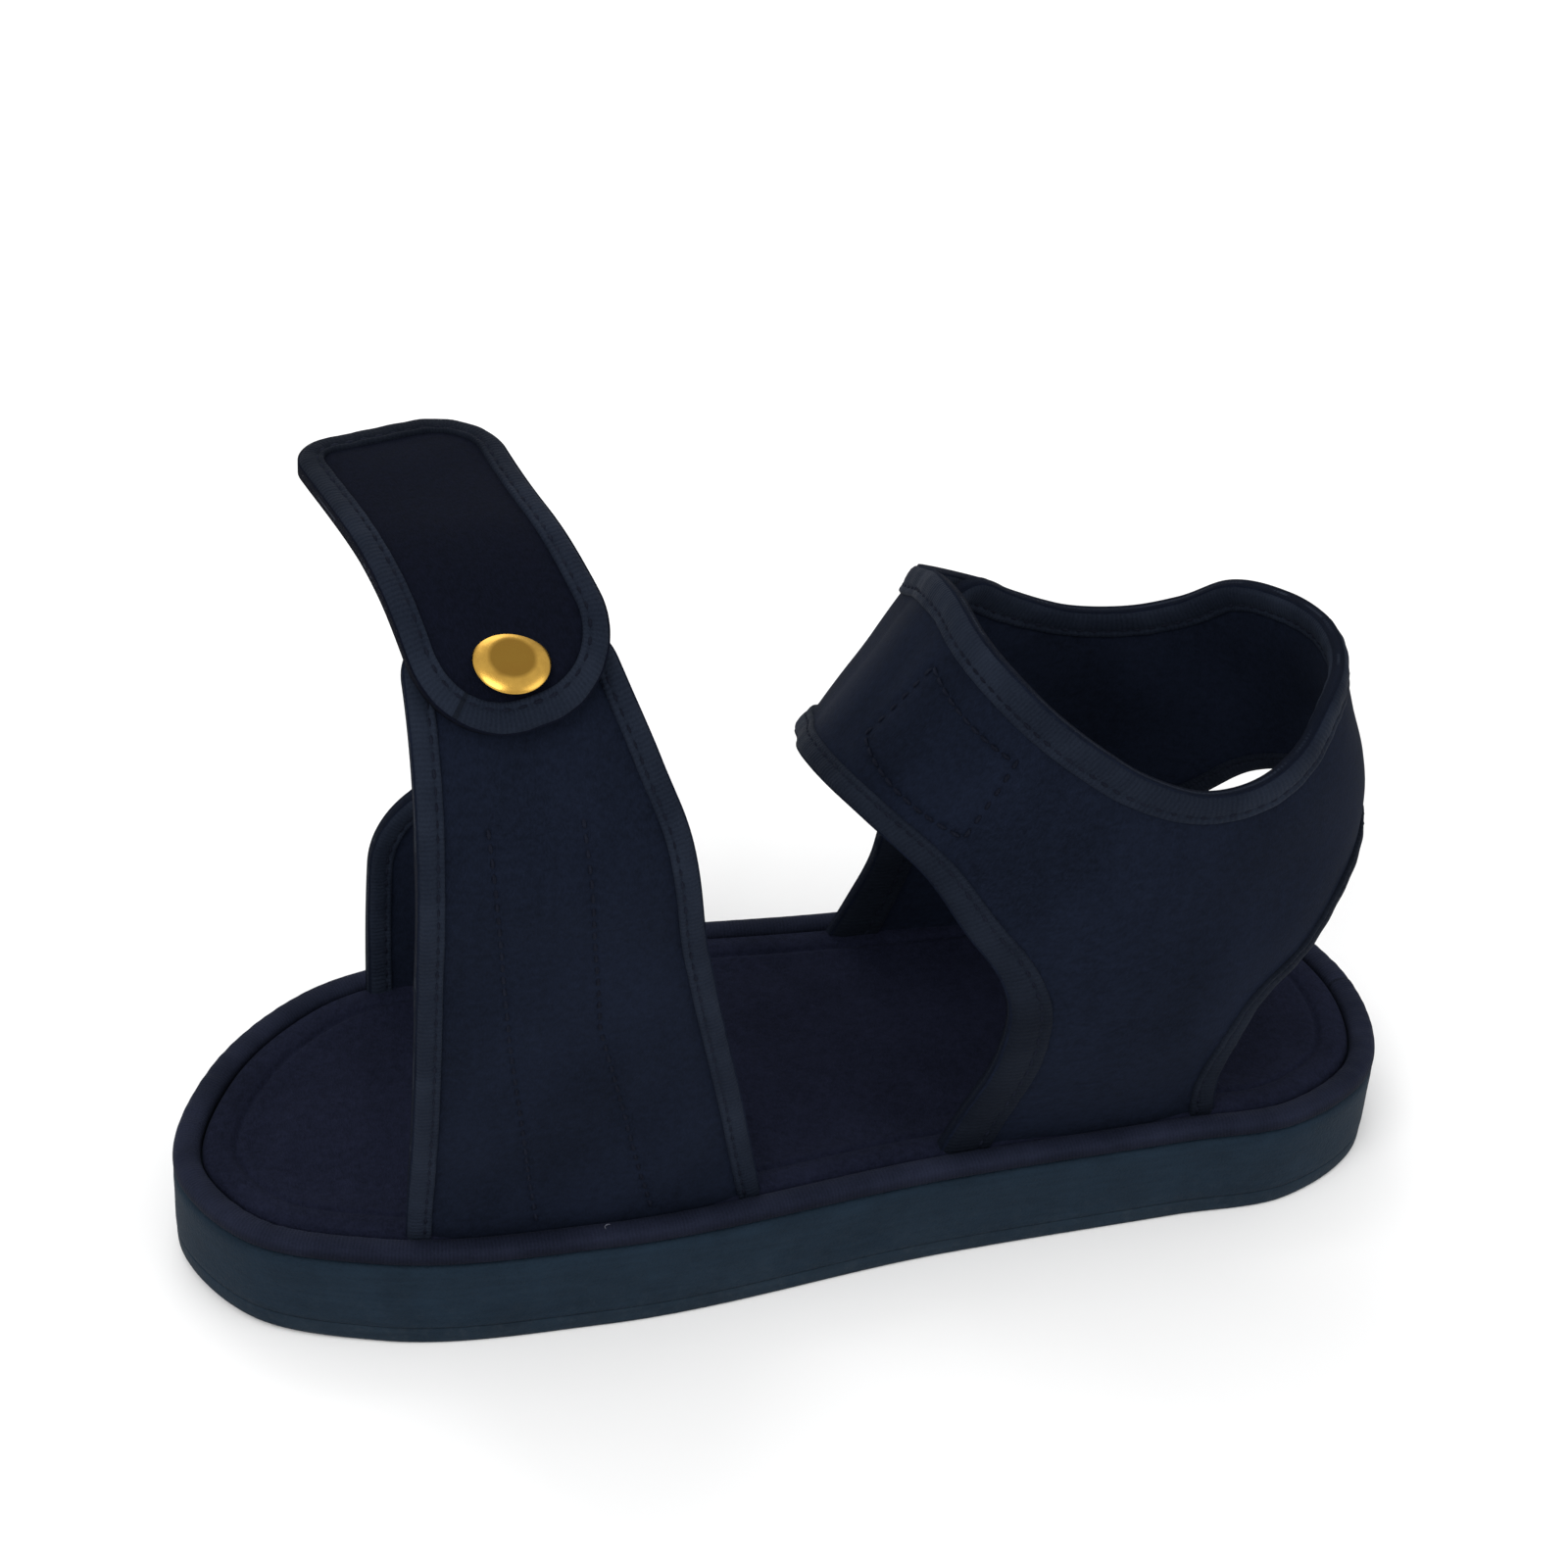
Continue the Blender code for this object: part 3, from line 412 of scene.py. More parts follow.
# %% Group: foam cells
enter, leave = group("foam_cells", (("Streaks", 0.5),), ("Deep", "Buffed"))
vector = enter["Vector"]
cells = on_vector(vector, "ShaderNodeTexVoronoi", scale=1500.0)
pits = window(cells.outputs["Distance"], 0.0, 0.55)
streak = noise(scaled(vector, (0.10, 0.10, 1.0)), 900.0, 3.0)
cloud = noise(vector, 70.0, 5.0, roughness=0.65)
share = plus(times(pits, 0.22), times(window(streak, 0.35, 0.68), enter["Streaks"]))
share = plus(share, times(window(cloud, 0.34, 0.70), 0.55), clamp=True)
give(leave, Colour=mixed(share, enter["Deep"], enter["Buffed"]),
     Height=plus(times(pits, 0.6), noise(vector, 1100.0, 2.0)),
     Roughness=plus(times(cloud, 0.2), 0.62))

# %% [markdown]
# ### Dust
# A shoe picks up pale dust near the floor. The group gives a mask that is strongest just above
# the ground and fades in a couple of centimetres, broken up by two sizes of specks.

# %% Group: dust
enter, leave = group("dust", (("Reach", 0.02), ("Amount", 0.3)), (), ("Mask",))
vector = enter["Vector"]
low = maths("SUBTRACT", 1.0, maths("DIVIDE", split(vector)[2], enter["Reach"]), clamp=True)
specks = window(noise(vector, 420.0, 4.0, roughness=0.7), 0.50, 0.72)
film = window(noise(vector, 60.0, 3.0), 0.3, 0.7)
mask = times(plus(times(film, 0.5), specks), low)
give(leave, Mask=times(mask, enter["Amount"], clamp=True))

# %% [markdown]
# ### The finishes themselves
# Each finish puts one group into a material with its own colours. The dark blues are read off
# the object: black-navy cloth, slightly lighter tape, and a teal-grey foam.


# %% Finish builder
SHEEN_TINT = (0.42, 0.52, 0.72, 1.0)
DUST_COLOUR = (0.060, 0.070, 0.080)
# Darkest share of a colour that the painted shade leaves.
DARKEST_PAINTED_SHADE = 0.55


def material(name):
    """New material and its shader."""
    made = bpy.data.materials.new(name)
    made.use_nodes = True
    return made, made.node_tree.nodes["Principled BSDF"]


def relief_into(body, height, **depth):
    """Bump from a height socket into a shader's normal."""
    bump = add(body.id_data, "ShaderNodeBump", **depth)
    wire(height, bump.inputs["Height"])
    wire(bump.outputs["Normal"], body.inputs["Normal"])


def finish(name, effect, deep, tips, bump, level, use_uv=True, dust=0.0, with_painted_shading=False,
           sheen=None, shine=0.05):
    """Material from one group: colour, roughness and a bump of the given depth in metres. Level
    is the group's own number, and sheen is a weight and a roughness. A finish with painted shading
    is darker where the piece's painted shading attribute is low, which paints shade into its colour."""
    made, body = material(name)
    nodes = made.node_tree
    where = add(nodes, "ShaderNodeTexCoord").outputs
    part = add(nodes, "ShaderNodeGroup", node_tree=bpy.data.node_groups[effect])
    wire(where["UV" if use_uv else "Object"], part.inputs["Vector"])
    for socket, value in zip(part.inputs[1:], ((*deep, 1.0), (*tips, 1.0), level)):
        socket.default_value = value
    colour = part.outputs["Colour"]
    if dust:
        cover = add(nodes, "ShaderNodeGroup", node_tree=bpy.data.node_groups["dust"])
        wire(where["Object"], cover.inputs["Vector"])
        cover.inputs["Amount"].default_value = dust
        colour = mixed(cover.outputs["Mask"], colour, DUST_COLOUR)
    # Painted light and shade: an attribute at each point scales the colour down toward the darkest
    # share.
    if with_painted_shading:
        painted_shading = add(nodes, "ShaderNodeAttribute", attribute_name="painted_shading").outputs["Fac"]
        shade = add(nodes, "ShaderNodeVectorMath", operation="SCALE")
        wire(colour, shade.inputs[0])
        wire(plus(times(painted_shading, 1 - DARKEST_PAINTED_SHADE), DARKEST_PAINTED_SHADE), shade.inputs["Scale"])
        colour = shade.outputs[0]
    wire(colour, body.inputs["Base Color"])
    wire(part.outputs["Roughness"], body.inputs["Roughness"])
    relief_into(body, part.outputs["Height"], strength=1.0, distance=bump)
    body.inputs["Specular IOR Level"].default_value = shine
    if sheen:
        for socket, value in zip(("Weight", "Roughness", "Tint"), (*sheen, SHEEN_TINT)):
            body.inputs["Sheen " + socket].default_value = value
    return made


# %% Cloth, tape, foam and rubber
upper_cloth = finish("upper_cloth", "napped_cloth", (0.0029, 0.0042, 0.0085),
                     (0.0075, 0.0108, 0.0222), 0.00030, 0.75, sheen=(0.015, 0.5), shine=0.03)
strap_cloth = finish("strap_cloth", "napped_cloth", (0.0019, 0.0026, 0.0056),
                     (0.0046, 0.0059, 0.0133), 0.00025, 0.35, sheen=(0.01, 0.5), shine=0.03)
footbed_cloth = finish("footbed_cloth", "napped_cloth", (0.0042, 0.0052, 0.0112),
                       (0.0115, 0.0136, 0.0288), 0.00045, 0.60, use_uv=False,
                       sheen=(0.015, 0.5), shine=0.02)
binding_tape = finish("binding_tape", "ribbed_tape", (0.0046, 0.0070, 0.0136),
                      (0.0133, 0.0183, 0.0307), 0.00022, 6200.0, with_painted_shading=True, sheen=(0.02, 0.45))
roll_cloth = finish("roll_cloth", "ribbed_tape", (0.0052, 0.0069, 0.0141),
                    (0.0145, 0.0176, 0.0342), 0.00018, 7800.0, with_painted_shading=True, sheen=(0.015, 0.45),
                    shine=0.04)
foam = finish("eva_foam", "foam_cells", (0.0037, 0.0094, 0.0171), (0.0087, 0.0186, 0.0317),
              0.00015, 0.30, use_uv=False, dust=0.10, shine=0.08)
rubber = finish("sheet_rubber", "foam_cells", (0.0037, 0.0094, 0.0171), (0.0082, 0.0181, 0.0304),
                0.00012, 0.45, use_uv=False, dust=0.14, shine=0.10)
thread = finish("thread", "ribbed_tape", (0.0032, 0.0042, 0.0085), (0.0085, 0.0108, 0.0200),
                0.00008, 9000.0, use_uv=False)
print("cloth finishes:", len(bpy.data.materials))

# %% [markdown]
# ### Brass
# The snap is pressed brass, polished and then handled: broad soft reflections, fine hairlines
# in all directions, and a slightly browner film in patches.

# %% Brass finish
brass, body = material("snap_brass")
where = add(brass.node_tree, "ShaderNodeTexCoord").outputs
film = noise(where["Object"], 260.0, 4.0)
# Painted reflection: the sloping skirt gets a brass about twice as bright as the flat middle, for the
# bright reflection that lies on it.
skirt_reflection = window(split(where["UV"])[1], 0.0040, 0.0049)
metal = mixed(skirt_reflection, (0.285, 0.160, 0.027), (0.60, 0.355, 0.070))
browner = times(window(film, 0.40, 0.75), 0.55)
wire(mixed(browner, metal, (0.25, 0.130, 0.022)), body.inputs["Base Color"])
wire(plus(times(film, 0.22), 0.16), body.inputs["Roughness"])
hairs = noise(scaled(where["Object"], (1.0, 0.08, 1.0)), 9000.0, 2.0)
relief_into(body, hairs, strength=0.25, distance=0.00002)
body.inputs["Metallic"].default_value = 1.0
print("finish", brass.name)

# %% [markdown]
# ## Meshes from whole arrays
# A piece is a grid of points, and its faces are index arrays worked out at once. The UV map of a
# cloth piece holds metres along and across the cloth, so that nap and ribs keep their real size.


# %% Mesh helpers
def put(name, data):
    """New object in the scene."""
    made = bpy.data.objects.new(name, data)
    bpy.context.scene.collection.objects.link(made)
    return made


def piece(name, points, faces, surface, uv=None, stands_for=(), slot=None):
    """Object from points and faces, smooth, riding on the sandal's one body."""
    mesh = bpy.data.meshes.new(name)
    mesh.from_pydata(points.tolist(), [], faces if isinstance(faces, list) else faces.tolist())
    if uv is not None:
        loops = np.empty(len(mesh.loops), np.int32)
        mesh.loops.foreach_get("vertex_index", loops)
        cloth_map = mesh.uv_layers.new(name="cloth")
        cloth_map.data.foreach_set("uv", np.asarray(uv, np.float32)[loops].ravel())
    mesh.shade_smooth()
    mesh.materials.append(surface)
    made = put(name, mesh)
    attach(made, "root")
    if stands_for:
        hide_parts(*stands_for)
    print(f"{name}: {len(points)} points, {len(faces)} faces")
    return made


# %% Faces of grids
def quads_of(n):
    """Quads between the neighbours in a table of point numbers."""
    return np.stack([n[:-1, :-1], n[:-1, 1:], n[1:, 1:], n[1:, :-1]], -1).reshape(-1, 4)


def net(rows, columns, wrap_rows=False, wrap_columns=False):
    """Quads of a grid of rows and columns, which may close on itself either way."""
    n = np.arange(rows * columns).reshape(rows, columns)
    if wrap_rows:
        n = np.r_[n, n[:1]]
    return quads_of(np.c_[n, n[:, :1]] if wrap_columns else n)


def closed_faces(points, quads):
    """Quads of a closed surface, all turned if the volume they enclose comes out negative."""
    a, b, c, d = (points[quads[:, k]] - points.mean(0) for k in range(4))
    volume = (np.cross(a, b) * c).sum() + (np.cross(a, c) * d).sum()
    return quads if volume > 0 else quads[:, ::-1]


def with_ends(quads, rows, columns):
    """Quads of a tube plus its two end faces, which turn the opposite way to their neighbours."""
    first = list(range(columns))
    last = list(range((rows - 1) * columns, rows * columns))
    start = quads[0].tolist()
    ahead = start[(start.index(0) + 1) % 4] == 1
    return quads.tolist() + ([first[::-1], last] if ahead else [first, last[::-1]])


def outward_faces(points, quads, normal):
    """Quads turned, where needed, so that each faces along the normal of its first point."""
    across = np.cross(points[quads[:, 2]] - points[quads[:, 0]],
                      points[quads[:, 3]] - points[quads[:, 1]])
    away = (across * normal[quads[:, 0]]).sum(1) < 0
    return np.where(away[:, None], quads[:, ::-1], quads)


def tube(grid, closed=False):
    """Points and faces of a grid of rings, with a face at each end unless the rings close too."""
    rows, columns = grid.shape[:2]
    points = grid.reshape(-1, 3)
    quads = closed_faces(points, net(rows, columns, closed, True))
    return points, quads if closed else with_ends(quads, rows, columns)


def joined(parts):
    """Points and faces of several parts as one."""
    starts = np.cumsum([0] + [len(points) for points, _ in parts])
    return (np.concatenate([points for points, _ in parts]),
            np.concatenate([faces + start for (_, faces), start in zip(parts, starts)]))


# %% Values over a grid
def grid_uv(along, across):
    """UV of a grid: distance along it for each row, and across it for each column."""
    return np.stack([np.repeat(along, len(across)), np.tile(across, len(along))], 1)


def set_painted_shading(made, painted_shading):
    """Painted shading attribute of a piece, one value for each point, which paints light and shade
    into its colour.
    """
    painted_shading_layer = made.data.attributes.new("painted_shading", "FLOAT", "POINT")
    painted_shading_layer.data.foreach_set("value", painted_shading.astype(np.float32))


def ripple(points, size, seed, count=8):
    """Gentle unevenness: the mean of waves of about one size in seeded directions."""
    rng = np.random.default_rng(seed)
    angle, phase = rng.uniform(0, 2 * math.pi, (2, count))
    wave = size * rng.uniform(0.7, 1.5, count)
    along = points[..., :1] * np.cos(angle) + points[..., 1:2] * np.sin(angle)
    return np.sin(2 * math.pi * along / wave + phase).mean(-1)


# %% [markdown]
# ## The sole
# A sole layer is cut to the outline and then stacked. Its side is a band of rings, each one the
# outline moved inward to its own height, and two lids of cross strips close it above and below.


# %% Layer of the sole
def lid(ring, base, start, across, move, facing):
    """Cross strips between both halves of a ring, and a fan of triangles at heel and toe."""
    share = np.linspace(0, 1, across + 2)[1:-1]
    medial, lateral = ring[1:HALF], ring[:HALF:-1]
    strips = medial[:, None] + (lateral - medial)[:, None] * share[:, None]
    station = np.minimum(np.arange(1, HALF), HALF - np.arange(1, HALF))[:, None]
    strips[..., 2] += move(strips, share, station)
    inner = start + np.arange((HALF - 1) * across).reshape(HALF - 1, across)
    n = np.c_[base + np.arange(1, HALF), inner, base + np.arange(len(ring) - 1, HALF, -1)]
    heel = np.stack([np.full(across + 1, base), n[0, 1:], n[0, :-1]], 1)
    toe = np.stack([np.full(across + 1, base + HALF), n[-1, :-1], n[-1, 1:]], 1)
    faces = quads_of(n).tolist() + heel.tolist() + toe.tolist()
    return strips.reshape(-1, 3), faces if facing > 0 else [face[::-1] for face in faces]


def flat(points, share, station):
    """No change of height."""
    return 0.0 * points[..., 2]


def layer(name, wall, surface, stands_for, slot, top=flat, bottom=flat, across=12):
    """Closed layer: wall has rows of inset, height and share of the spring, from the bottom up;
    top and bottom give the change of height over a lid."""
    rings = [np.c_[inset(distance), np.full(len(RING), height)] for distance, height, _ in wall]
    for ring, (_, _, lift) in zip(rings, wall):
        ring[:, 2] += lift * spring(ring[:, 0])
    band = np.concatenate(rings)
    count, around = len(band), len(RING)
    over, over_faces = lid(rings[-1], count - around, count, across, top, 1)
    under, under_faces = lid(rings[0], 0, count + len(over), across, bottom, -1)
    sides = closed_faces(band, net(len(wall), around, False, True)).tolist()
    return piece(name, np.concatenate([band, over, under]), sides + over_faces + under_faces,
                 surface, None, stands_for, slot)


# %% [markdown]
# ### Outsole and midsole
# The outsole is a thin sheet with a rounded lower edge. A fine step parts it from the foam
# above. Its underside has shallow cross grooves, a guess, because the photo doesn't show it.


# %% Soles
GROOVE_PITCH, GROOVE_DEPTH = 0.008, 0.0009


def grooves(points, share, station):
    """Cross grooves at an even pitch, which fade out toward the outline."""
    wave = np.clip(np.cos(points[..., 0] / GROOVE_PITCH * 2 * math.pi) * 4 - 3, 0, 1)
    fade = np.clip(np.minimum(share, 1 - share) * 9 - 0.6, 0, 1) * np.clip(station / 40 - 0.4, 0, 1)
    return GROOVE_DEPTH * wave * fade


layer("sole_rubber", (
    (0.0016, 0.0, 1.0), (0.0009, 0.00010, 1.0), (0.0005, 0.00035, 1.0), (0.00028, 0.0008, 1.0),
    (0.00020, 0.0014, 1.0), (0.00016, 0.0026, 1.0), (0.00014, 0.0039, 1.0),
    (0.00024, 0.00426, 1.0), (0.0010, 0.00438, 1.0)), rubber, ("outsole",), "outsole_rubber",
    bottom=grooves, across=40)
layer("sole_foam", (
    (0.0010, 0.00442, 1.0), (0.00020, 0.00454, 1.0), (0.00006, 0.0049, 0.97), (0.0, 0.0062, 0.9),
    (0.0, 0.0100, 0.6), (0.00005, 0.0140, 0.3), (0.0, 0.0180, 0.1), (0.00005, 0.0200, 0.0),
    (0.0004, 0.0208, 0.0), (0.0011, SOLE_TOP, 0.0)), foam, ("midsole",), "eva_foam")

# %% [markdown]
# ### Footbed
# The footbed is thin foam under napped cloth, sewn down near its rim. So it swells at the rim,
# dips along the seam, and is slightly dished where the foot stands.


# %% Footbed
RIM = ROLL_WIDTH + GAP
EDGE = np.linspace(0.0010, 0.0150, 36)


def footbed_rise(edge):
    """Height over the flat top, by distance from the rim: a swell, a seam trough, then a fall
    into the dish that ends level."""
    swell = 0.0004 * np.exp(-((edge - 0.0035) / 0.0020) ** 2)
    seam = -0.0007 * np.exp(-((edge - 0.0072) / 0.0007) ** 2)
    return swell + seam - FOOTBED_DISH * eased(ramp(edge, 0.004, 0.015))


def footbed_top(points, share, station):
    """Soft unevenness of the dish, which dies out toward the rim."""
    calm = np.clip(np.minimum(share, 1 - share) * 8, 0, 1) * np.clip(station / 25 - 0.1, 0, 1)
    return (0.00030 * ripple(points, 0.045, 3) + 0.00018 * ripple(points, 0.014, 4)) * calm


footbed_wall = [(RIM + 0.0003, SEAT - 0.0002, 0.0), (RIM, SEAT + 0.0004, 0.0),
                (RIM, SEAT + 0.0014, 0.0), (RIM + 0.0003, SEAT + 0.0021, 0.0)]
footbed_wall += [(RIM + d, SEAT + FOOTBED_THICK + h, 0.0) for d, h in zip(EDGE, footbed_rise(EDGE))]
layer("footbed_cover", footbed_wall, footbed_cloth, ("footbed",), "footbed_cloth",
      top=footbed_top, across=60)

# %% [markdown]
# ### Edge roll
# A cord of foam wrapped in cloth runs round the top of the sole and hides the raw edge. The cloth
# is gathered round toe and heel, which leaves small puckers, and it is pulled in at both seams.
# The cloth is painted darker where it turns under, as in the photo: a painted shade.

# %% Edge roll
ROLL_PROFILE = ((0.90, 0.0), (0.50, -0.03), (0.12, 0.0), (0.02, 0.15), (0.0, 0.34), (0.03, 0.62),
                (0.14, 0.87), (0.36, 1.0), (0.64, 0.98), (0.88, 0.78), (0.99, 0.45), (0.97, 0.12),
                (0.90, 0.0))
section = chain(np.array(ROLL_PROFILE) * (ROLL_WIDTH, ROLL_RISE), 36)[:-1]
along = lengths(RING)
bend = np.abs(RING[:, 0]) / (SOLE_LENGTH / 2)
gather = np.clip((bend - 0.62) / 0.3, 0.15, 1.0)
pucker = 0.00009 * gather * (np.sin(along / 0.0047 * 2 * math.pi + 5 * np.sin(along / 0.021))
                             + 0.6 * np.sin(along / 0.0081 * 2 * math.pi + 1.3))
grid = np.stack([np.c_[inset(distance), SEAT + height + pucker * max(0.0, height) / ROLL_RISE]
                 for distance, height in section], 1)
roll = piece("edge_roll_cloth", *tube(grid, True), roll_cloth, grid_uv(along, lengths(section)),
             ("edge_roll",), "roll_cloth")
# Painted shade on the roll: its cloth is darkest at the low part of its section, where it turns
# under.
up = np.clip(section[:, 1] / (0.75 * ROLL_RISE), 0.0, 1.0)
set_painted_shading(roll, np.tile(up * up * 1.05 - 0.05, len(RING)))

# %% [markdown]
# ## Surfaces of the cloth
# A panel is drawn flat, as on a cutting table, and a function then carries the pattern's points
# to their place in space. The forefoot flaps stand on the sole and bend over the foot, so their
# function adds up the sine and cosine of the lean along the cloth.

# %% Flap tables
SNAP_RUN = 0.1410
SNAP_X = 0.0964 - 0.0197
MEDIAL = {"front": 0.0964, "base": 0.0769, "length": 0.1520, "corner": 0.0110}
LATERAL = {"front": 0.0890, "base": 0.0650, "length": 0.0630, "corner": 0.0255}
MEDIAL_EDGES = ((0.00, 0.000, 0.000), (0.26, 0.000, 0.121), (0.51, 0.002, 0.243),
                (0.71, 0.002, 0.317), (0.80, 0.001, 0.380), (0.89, 0.000, 0.441),
                (1.00, 0.000, 0.500))
LATERAL_EDGES = ((0.00, 0.000, 0.000), (0.50, -0.008, 0.050), (1.00, -0.030, 0.120))
MEDIAL_BEND = ((0.0, 0.0), (0.03, 0.0), (0.10, -8.0), (0.35, -5.0), (0.70, 0.0), (0.85, 20.0),
               (1.0, 45.0), (1.12, 72.0), (1.24, 86.0), (1.50, 82.0), (2.0, 82.0))
LATERAL_BEND = ((0.0, 0.0), (0.5, 4.0), (1.0, 12.0))


# %% Flap surface
def flap_surface(side, size, bend, run):
    """Surface over (along the shoe, up the cloth): y follows the seam line at the foot and
    fades to one bent profile above; height is the sum of the cosine of the lean."""
    rows = np.array(bend)
    at = np.linspace(-0.006, rows[-1, 0] * run + 0.006, 900)
    lean = np.radians(smooth(rows[:, 0] * run, rows[:, 1], at))
    step = np.diff(at) / 2
    away = np.r_[0.0, np.cumsum(-(np.sin(lean[1:]) + np.sin(lean[:-1])) * step)]
    rise = np.r_[0.0, np.cumsum((np.cos(lean[1:]) + np.cos(lean[:-1])) * step)]
    rise = rise - np.interp(0.0, at, rise)
    reference = abs(float(seat_y(size["front"] - size["base"] / 2, side)))

    def surface(pattern):
        x, length = -side * pattern[..., 0], pattern[..., 1]
        up = np.interp(length, at, rise)
        fade = np.clip(1.0 - up / FOOT_BLEND, 0.0, 1.0) ** 2
        y = reference + np.interp(length, at, away)
        y = y + (np.abs(seat_y(x, side)) - reference) * fade
        return np.stack([x, side * y, SEAT + up], -1)

    return surface


medial_surface = flap_surface(1, MEDIAL, MEDIAL_BEND, SNAP_RUN)
lateral_surface = flap_surface(-1, LATERAL, LATERAL_BEND, LATERAL["length"])


def normal_of(surface, pattern, step=4e-4):
    """Unit normal: the cross product of small steps along and up the pattern."""
    right = surface(pattern + (step, 0.0)) - surface(pattern - (step, 0.0))
    up = surface(pattern + (0.0, step)) - surface(pattern - (0.0, step))
    normal = np.cross(right, up)
    return normal / np.linalg.norm(normal, axis=-1, keepdims=True)


def moved(surface, relief, sign=1.0):
    """The surface moved along its normal by a relief, which is a function of the pattern."""
    def result(pattern):
        height = relief(pattern.reshape(-1, 2)).reshape(pattern.shape[:-1])
        return surface(pattern) + sign * normal_of(surface, pattern) * height[..., None]

    return result


# %% [markdown]
# ## Panels
# A panel has three parts: the padded face, the tape folded over its edge, and the stitches that
# hold the tape. The face is thinner at the tape, because the thread squeezes the foam there.


# %% Panel faces
PAD_RUN = 0.010


def fill(bottom, right, top, left):
    """Grid between four sides: both pairs blended, less the blend of the four corners."""
    u = np.linspace(0.0, 1.0, len(bottom))[None, :, None]
    v = np.linspace(0.0, 1.0, len(left))[:, None, None]
    sides = (1 - v) * bottom[None] + v * top[None] + (1 - u) * left[:, None] + u * right[:, None]
    low = (1 - u) * bottom[0] + u * bottom[-1]
    high = (1 - u) * top[0] + u * top[-1]
    return sides - (1 - v) * low - v * high


def weld(blocks):
    """Pattern points of several grids with shared borders counted once, and their quads."""
    points = np.concatenate([block.reshape(-1, 2) for block in blocks])
    starts = np.cumsum([0] + [block.shape[0] * block.shape[1] for block in blocks])
    quads = [net(*block.shape[:2]) + start for block, start in zip(blocks, starts)]
    keys = np.round(points / 2e-6).astype(np.int64)
    _, first, number = np.unique(keys, axis=0, return_index=True, return_inverse=True)
    return points[first], number.reshape(-1)[np.concatenate(quads)]


def nearest(points, paths):
    """Distance of each pattern point from the nearest point of some paths."""
    best = np.full(len(points), 1.0)
    for path in paths:
        for run in np.array_split(path, max(1, len(path) // 40)):
            gaps = points[:, None] - run[None]
            best = np.minimum(best, np.sqrt((gaps ** 2).sum(-1)).min(1))
    return best


def face_piece(name, surface, blocks, edges, relief, cloth, sign, stands_for, slot):
    """Padded wall: middle surface moved by relief, then half a thickness to either side."""
    pattern, quads = weld(blocks)
    normal = normal_of(surface, pattern) * sign
    middle = surface(pattern) + normal * relief(pattern)[:, None]
    edge = nearest(pattern, edges)
    puff = ramp(edge, BINDING_WIDTH, BINDING_WIDTH + PAD_RUN)
    half = WALL / 2 - 0.0004 + 0.0008 * puff * (2 - puff)
    half = half + 0.00010 * ripple(pattern, 0.022, 11) * puff
    front, back = middle + normal * half[:, None], middle - normal * half[:, None]
    quads = outward_faces(front, quads, normal)
    count = len(pattern)
    pairs = np.concatenate([quads[:, [k, (k + 1) % 4]] for k in range(4)])
    code, other = pairs[:, 0] * count + pairs[:, 1], pairs[:, 1] * count + pairs[:, 0]
    rim = pairs[~np.isin(code, other)]
    wall = np.stack([rim[:, 1], rim[:, 0], rim[:, 0] + count, rim[:, 1] + count], 1)
    faces = np.concatenate([quads, quads[:, ::-1] + count, wall])
    uv = np.concatenate([pattern, pattern + (0.5, 0.0)])
    made = piece(name, np.concatenate([front, back]), faces, cloth, uv, stands_for, slot)


# %% [markdown]
# ### Tape and stitches
# The tape is a closed band carried along the panel's edge. Its section goes up one face, round
# the edge and down the other, with a small groove where the thread pulls it in. A stitch is a
# short fat lozenge of thread that dives into the cloth at both ends.

# %% Tape section
H = WALL / 2 + BINDING_RISE
TAPE = np.array([
    (1.00, WALL / 2 - 0.0009), (1.00, WALL / 2 - 0.0001), (0.96, H - 0.00012), (0.88, H - 0.00002),
    (0.80, H - 0.00010), (0.74, H - 0.00038), (0.68, H - 0.00010), (0.56, H + 0.00004),
    (0.40, H + 0.00006), (0.24, H - 0.00004), (0.12, H - 0.00040), (0.04, H - 0.00110),
    (0.00, H - 0.00190)])
TAPE = np.r_[TAPE, (TAPE * (1.0, -1.0))[::-1]]
STITCH_PLACE, EDGE_STEP = 0.74, 0.0010
STITCH_AT = STITCH_PLACE * BINDING_WIDTH


def tape_piece(name, surface, path, sign, closed, seed, width=BINDING_WIDTH, painted_shading=1.0):
    """Band over (along the edge, round the section): inset from the edge and height. Width and
    painted shading are one number, or one for each point of the path; low painted shading makes the
    tape darker, as painted shade."""
    along = lengths(path)
    rng = np.random.default_rng(seed)
    phase = rng.uniform(0, 6.28, 4)
    bulge = 1 + 0.035 * np.sin(along / 0.0062 * 6.28 + phase[0] + 2 * np.sin(along / 0.03))
    bulge = bulge + 0.030 * np.sin(along / 0.0235 * 6.28 + phase[1])
    inset_by = TAPE[:, 0] * np.broadcast_to(width, len(path))[:, None]
    pattern = path[:, None] + left_of(path, closed)[:, None] * inset_by[..., None]
    height = TAPE[:, 1][None] * bulge[:, None]
    grid = surface(pattern) + normal_of(surface, pattern) * sign * height[..., None]
    uv = grid_uv(along, lengths(TAPE * (BINDING_WIDTH, 1.0)))
    made = piece(name, *tube(grid, closed), binding_tape, uv)
    set_painted_shading(made, np.repeat(np.broadcast_to(painted_shading, len(path)), len(TAPE)))


# %% Stitches
EDGE_STITCH, SEAM_STITCH = WALL / 2 + 0.00020, WALL / 2 + 0.00022


